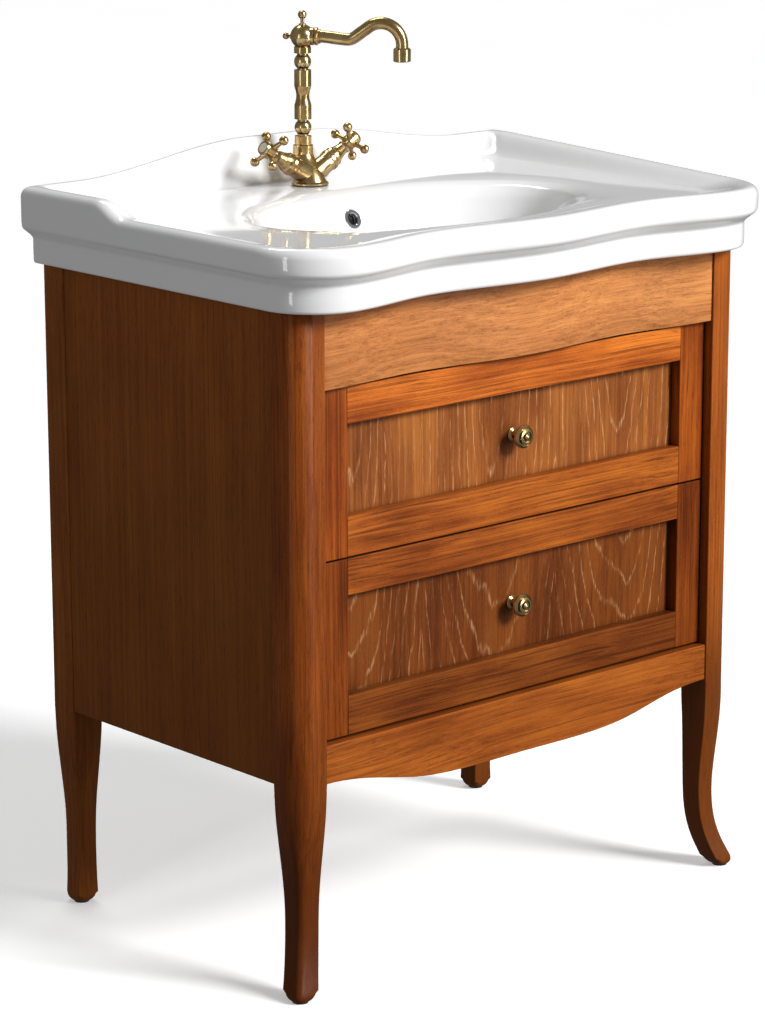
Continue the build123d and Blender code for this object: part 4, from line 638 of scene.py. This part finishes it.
def basin_loops():
    """Loops from the underside's middle, round the outside, over the rim and down to the drain."""
    loops = []

    def at(plan, z):
        loops.append(np.column_stack([plan, np.broadcast_to(z, len(plan))]))

    def inset(d, z):
        back = 0.0 if d < SKIRT else SKIRT_BACK
        at(outline(d, d, back, max(CORNER - d, LEAST_CORNER), BACK_CORNER), z)

    deck_edge = outline(**DECK_EDGE)
    angle = np.arctan2((deck_edge[:, 1] - BOWL_Y) / BOWL_B, deck_edge[:, 0] / BOWL_A)

    def oval(a, b):
        return np.column_stack([a * np.cos(angle), BOWL_Y + b * np.sin(angle)])

    # underside: bowl from below, deck from below, skirt
    for radius in UNDER_DRAIN:
        at(oval(radius, radius), BOWL_FLOOR - BOWL_WALL)
    for share in np.linspace(0.97, 0.06, 16):
        at(oval(*bowl_at(share, BOWL_WALL)), DECK_Z - BOWL_WALL - share * BOWL_FALL)
    at(oval(BOWL_A + BOWL_WALL + UNDER_EDGE_A, BOWL_B + BOWL_WALL + UNDER_EDGE_B), UNDERSIDE_Z)
    inset(SKIRT, UNDERSIDE_Z)
    inset(SKIRT, CABINET_TOP)
    # lower band, cove and upper band
    inset(BAND, CABINET_TOP)
    for step in range(1, COVE_STEPS + 1):
        turn = math.pi / 2 * step / COVE_STEPS
        inset(BAND - COVE * math.sin(turn), CABINET_TOP + COVE * (1 - math.cos(turn)))
    inset(UPPER_BAND, BAND_TOP)
    for step in range(STEP_STEPS + 1):
        share = step / STEP_STEPS
        inset(UPPER_BAND - STEP_DEPTH * smooth(share), STEP_FOOT + STEP_RISE * share)
    inset(0.0, EDGE_TOP)
    # rim
    top = outline(0.0, 0.0, 0.0, CORNER, BACK_CORNER)
    height = rim_height(top)
    at(top, RIM_FOOT + (height - RIM_Z) * 0.5)
    for step in range(RIM_STEPS + 1):
        turn = math.pi / 2 * step / RIM_STEPS
        d = RIM_RADIUS * (1 - math.cos(turn))
        at(outline(d, d, d * 0.5, CORNER - d, BACK_CORNER), height - RIM_RADIUS * (1 - math.sin(turn)))
    for d, back, back_corner, rise in RIM_FLATS:
        flat = outline(d, d, back, CORNER - d, back_corner)
        start_height = rim_height(flat) + rise
        at(flat, start_height)
    for step in range(1, FALL_STEPS + 1):
        share = step / FALL_STEPS
        fall = 0.5 * smooth(share) + 0.5 * smooth(share**0.8)
        at(flat * (1 - share) + deck_edge * share, start_height * (1 - fall) + DECK_Z * fall)
    # deck, falling gently to the bowl's soft lip
    lip = oval(LIP_A, LIP_B)
    for share in (0.2, 0.4, 0.6, 0.75, 0.85, 0.93, 1.0):
        at(deck_edge * (1 - share) + lip * share, deck_height(share))
    start_z = deck_height(1.0)
    end_z = DECK_Z - BOWL_FALL * BOWL_START
    a, b = bowl_at(BOWL_START)
    for step in range(1, LIP_STEPS + 1):
        share = step / LIP_STEPS
        at(oval(LIP_A * (1 - share) + a * share, LIP_B * (1 - share) + b * share),
           start_z + (end_z - start_z) * share**1.5)
    for share in np.linspace(0.065, 0.985, 52):
        at(oval(*bowl_at(share)), DECK_Z - share * BOWL_FALL)
    for radius, z in DRAIN:
        at(oval(radius, radius), z)
    return loops


def add_mesh(name, mesh):
    made = bpy.data.objects.new(name, mesh)
    scene.collection.objects.link(made)
    return made


def loft_mesh(name, loops):
    """A closed mesh through loops of equal count; its first and last loops join round a bore."""
    count = len(loops[0])
    points = np.concatenate(loops)
    faces = []
    for row in range(len(loops)):
        a, b = row * count, ((row + 1) % len(loops)) * count
        for i in range(count):
            j = (i + 1) % count
            faces.append((a + i, a + j, b + j, b + i))
    mesh = bpy.data.meshes.new(name)
    mesh.from_pydata(points.tolist(), [], faces)
    mesh.validate()
    mesh.polygons.foreach_set("use_smooth", [True] * len(mesh.polygons))
    return add_mesh(name, mesh)


def seat_ring(mesh):
    """Flatten the wall under the overflow ring and push it in behind the ring's bore."""
    for vertex in mesh.vertices:
        away = vertex.co - RING_MIDDLE
        along = away.dot(RING_AXIS)
        radius = (away - along * RING_AXIS).length
        if radius < RING_REACH and along > RING_DEEPEST:
            target = -PASSAGE_DEPTH if radius < PASSAGE_RADIUS else RING_SEAT
            vertex.co += (target - along) * RING_AXIS


basin = loft_mesh("basin_glazed", basin_loops())
seat_ring(basin.data)
basin.data.materials.append(glaze())
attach(basin, "cabinet")
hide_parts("basin")


# ---------------------------------------------------------------- soft edges on the woodwork
FRONT_SOFT, POST_SOFT, PANEL_SOFT = 0.0008, 0.0012, 0.0010
SOFT_ANGLE = math.radians(40)
WELD_REACH = 0.00002
PANELS = ["front_fascia", "front_apron", "left_side_panel", "right_side_panel"]


def soften(names, width):
    """Weld each node's mesh and round its sharp edges."""
    for name in names:
        made = NODES[name]
        weld = made.modifiers.new("weld", "WELD")
        weld.merge_threshold = WELD_REACH
        bevel = made.modifiers.new("soft", "BEVEL")
        bevel.width = width
        bevel.segments = 2
        bevel.limit_method = "ANGLE"
        bevel.angle_limit = SOFT_ANGLE
        bevel.harden_normals = True


soften([n for n in NODES if "_drawer_" in n and n.endswith(("rail", "stiles"))], FRONT_SOFT)
soften([n for n in NODES if n.endswith("_post")], POST_SOFT)
soften(PANELS, PANEL_SOFT)


# ---------------------------------------------------------------- floor, backdrop and light
FLOOR_HALF = 30.0
FLOOR_GLOW = 0.34
FLOOR_DARK, FLOOR_LIGHT = (0.86, 0.86, 0.86), (0.89, 0.89, 0.89)
BACKDROP_RADIUS, BACKDROP_TOP, BACKDROP_SIDES = 29.0, 60.0, 96
SUN_TOWARD, SUN_STRENGTH, SUN_ANGLE = (1.15, -2.75, 1.80), 3.6, 20  # degrees across
LIGHTS = (  # name, place, point lit, size, power
    ("right_strip", (1.22, -2.74, 1.05), (0, 0, 0.95), (0.42, 2.0), 26),
    ("left_strip", (-2.94, -0.57, 1.05), (0, 0, 0.95), (0.30, 2.0), 8),
    ("top_box", (0.4, 1.2, 2.9), (0, 0.1, 0.9), (1.2, 0.6), 19),
)
WORLD_STRENGTH = 0.19


def glow(g, strength):
    g.shader.inputs["Emission Color"].default_value = (1, 1, 1, 1)
    g.shader.inputs["Emission Strength"].default_value = strength


def add_floor():
    """A pale floor, glowing a little, that lights and reflects nothing."""
    mesh = bpy.data.meshes.new("floor")
    size = FLOOR_HALF
    corners = [(-size, -size, 0), (size, -size, 0), (size, size, 0), (-size, size, 0)]
    mesh.from_pydata(corners, [], [(0, 1, 2, 3)])
    floor = add_mesh("floor", mesh)
    g = Graph("pale_floor")
    glow(g, FLOOR_GLOW)
    cloud = g.even_noise(2, 2.0, 0.5)
    mesh.materials.append(g.set(color=g.blend(cloud, FLOOR_DARK, FLOOR_LIGHT), rough=0.8))
    floor.visible_diffuse = False
    floor.visible_glossy = False


def add_backdrop():
    """A plain white wall all round, far out, that only the camera sees."""
    sides = BACKDROP_SIDES
    turns = [2 * math.pi * i / sides for i in range(sides)]
    points = [(BACKDROP_RADIUS * math.cos(t), BACKDROP_RADIUS * math.sin(t), z)
              for z in (0.0, BACKDROP_TOP) for t in turns]
    faces = [(i, (i + 1) % sides, sides + (i + 1) % sides, sides + i) for i in range(sides)]
    mesh = bpy.data.meshes.new("backdrop")
    mesh.from_pydata(points, [], faces)
    wall = add_mesh("backdrop", mesh)
    g = Graph("white_backdrop")
    glow(g, 1.0)
    mesh.materials.append(g.set(color=(0.0, 0.0, 0.0), rough=1.0, specular=0.0))
    wall.visible_diffuse = False
    wall.visible_glossy = False
    wall.visible_shadow = False


def area_light(name, at, look, size, power):
    """A rectangular light aimed at a point and hidden from the camera."""
    light = bpy.data.lights.new(name, "AREA")
    light.shape = "RECTANGLE"
    light.size, light.size_y = size
    light.energy = power
    made = bpy.data.objects.new(name, light)
    made.location = at
    made.rotation_euler = (Vector(look) - Vector(at)).to_track_quat("-Z", "Y").to_euler()
    made.visible_camera = False
    scene.collection.objects.link(made)


def sun_light(toward, strength, angle):
    """Even light from a direction, as soft as its angle."""
    light = bpy.data.lights.new("sun", "SUN")
    light.energy = strength
    light.angle = math.radians(angle)
    made = bpy.data.objects.new("sun", light)
    made.rotation_euler = Vector(toward).to_track_quat("Z", "Y").to_euler()
    scene.collection.objects.link(made)


add_floor()
add_backdrop()
sun_light(SUN_TOWARD, SUN_STRENGTH, SUN_ANGLE)
for light in LIGHTS:
    area_light(*light)

world = bpy.data.worlds.new("studio")
scene.world = world
world.use_nodes = True
world.node_tree.nodes["Background"].inputs[0].default_value = (1, 1, 1, 1)
world.node_tree.nodes["Background"].inputs[1].default_value = WORLD_STRENGTH
scene.view_settings.view_transform = "Standard"
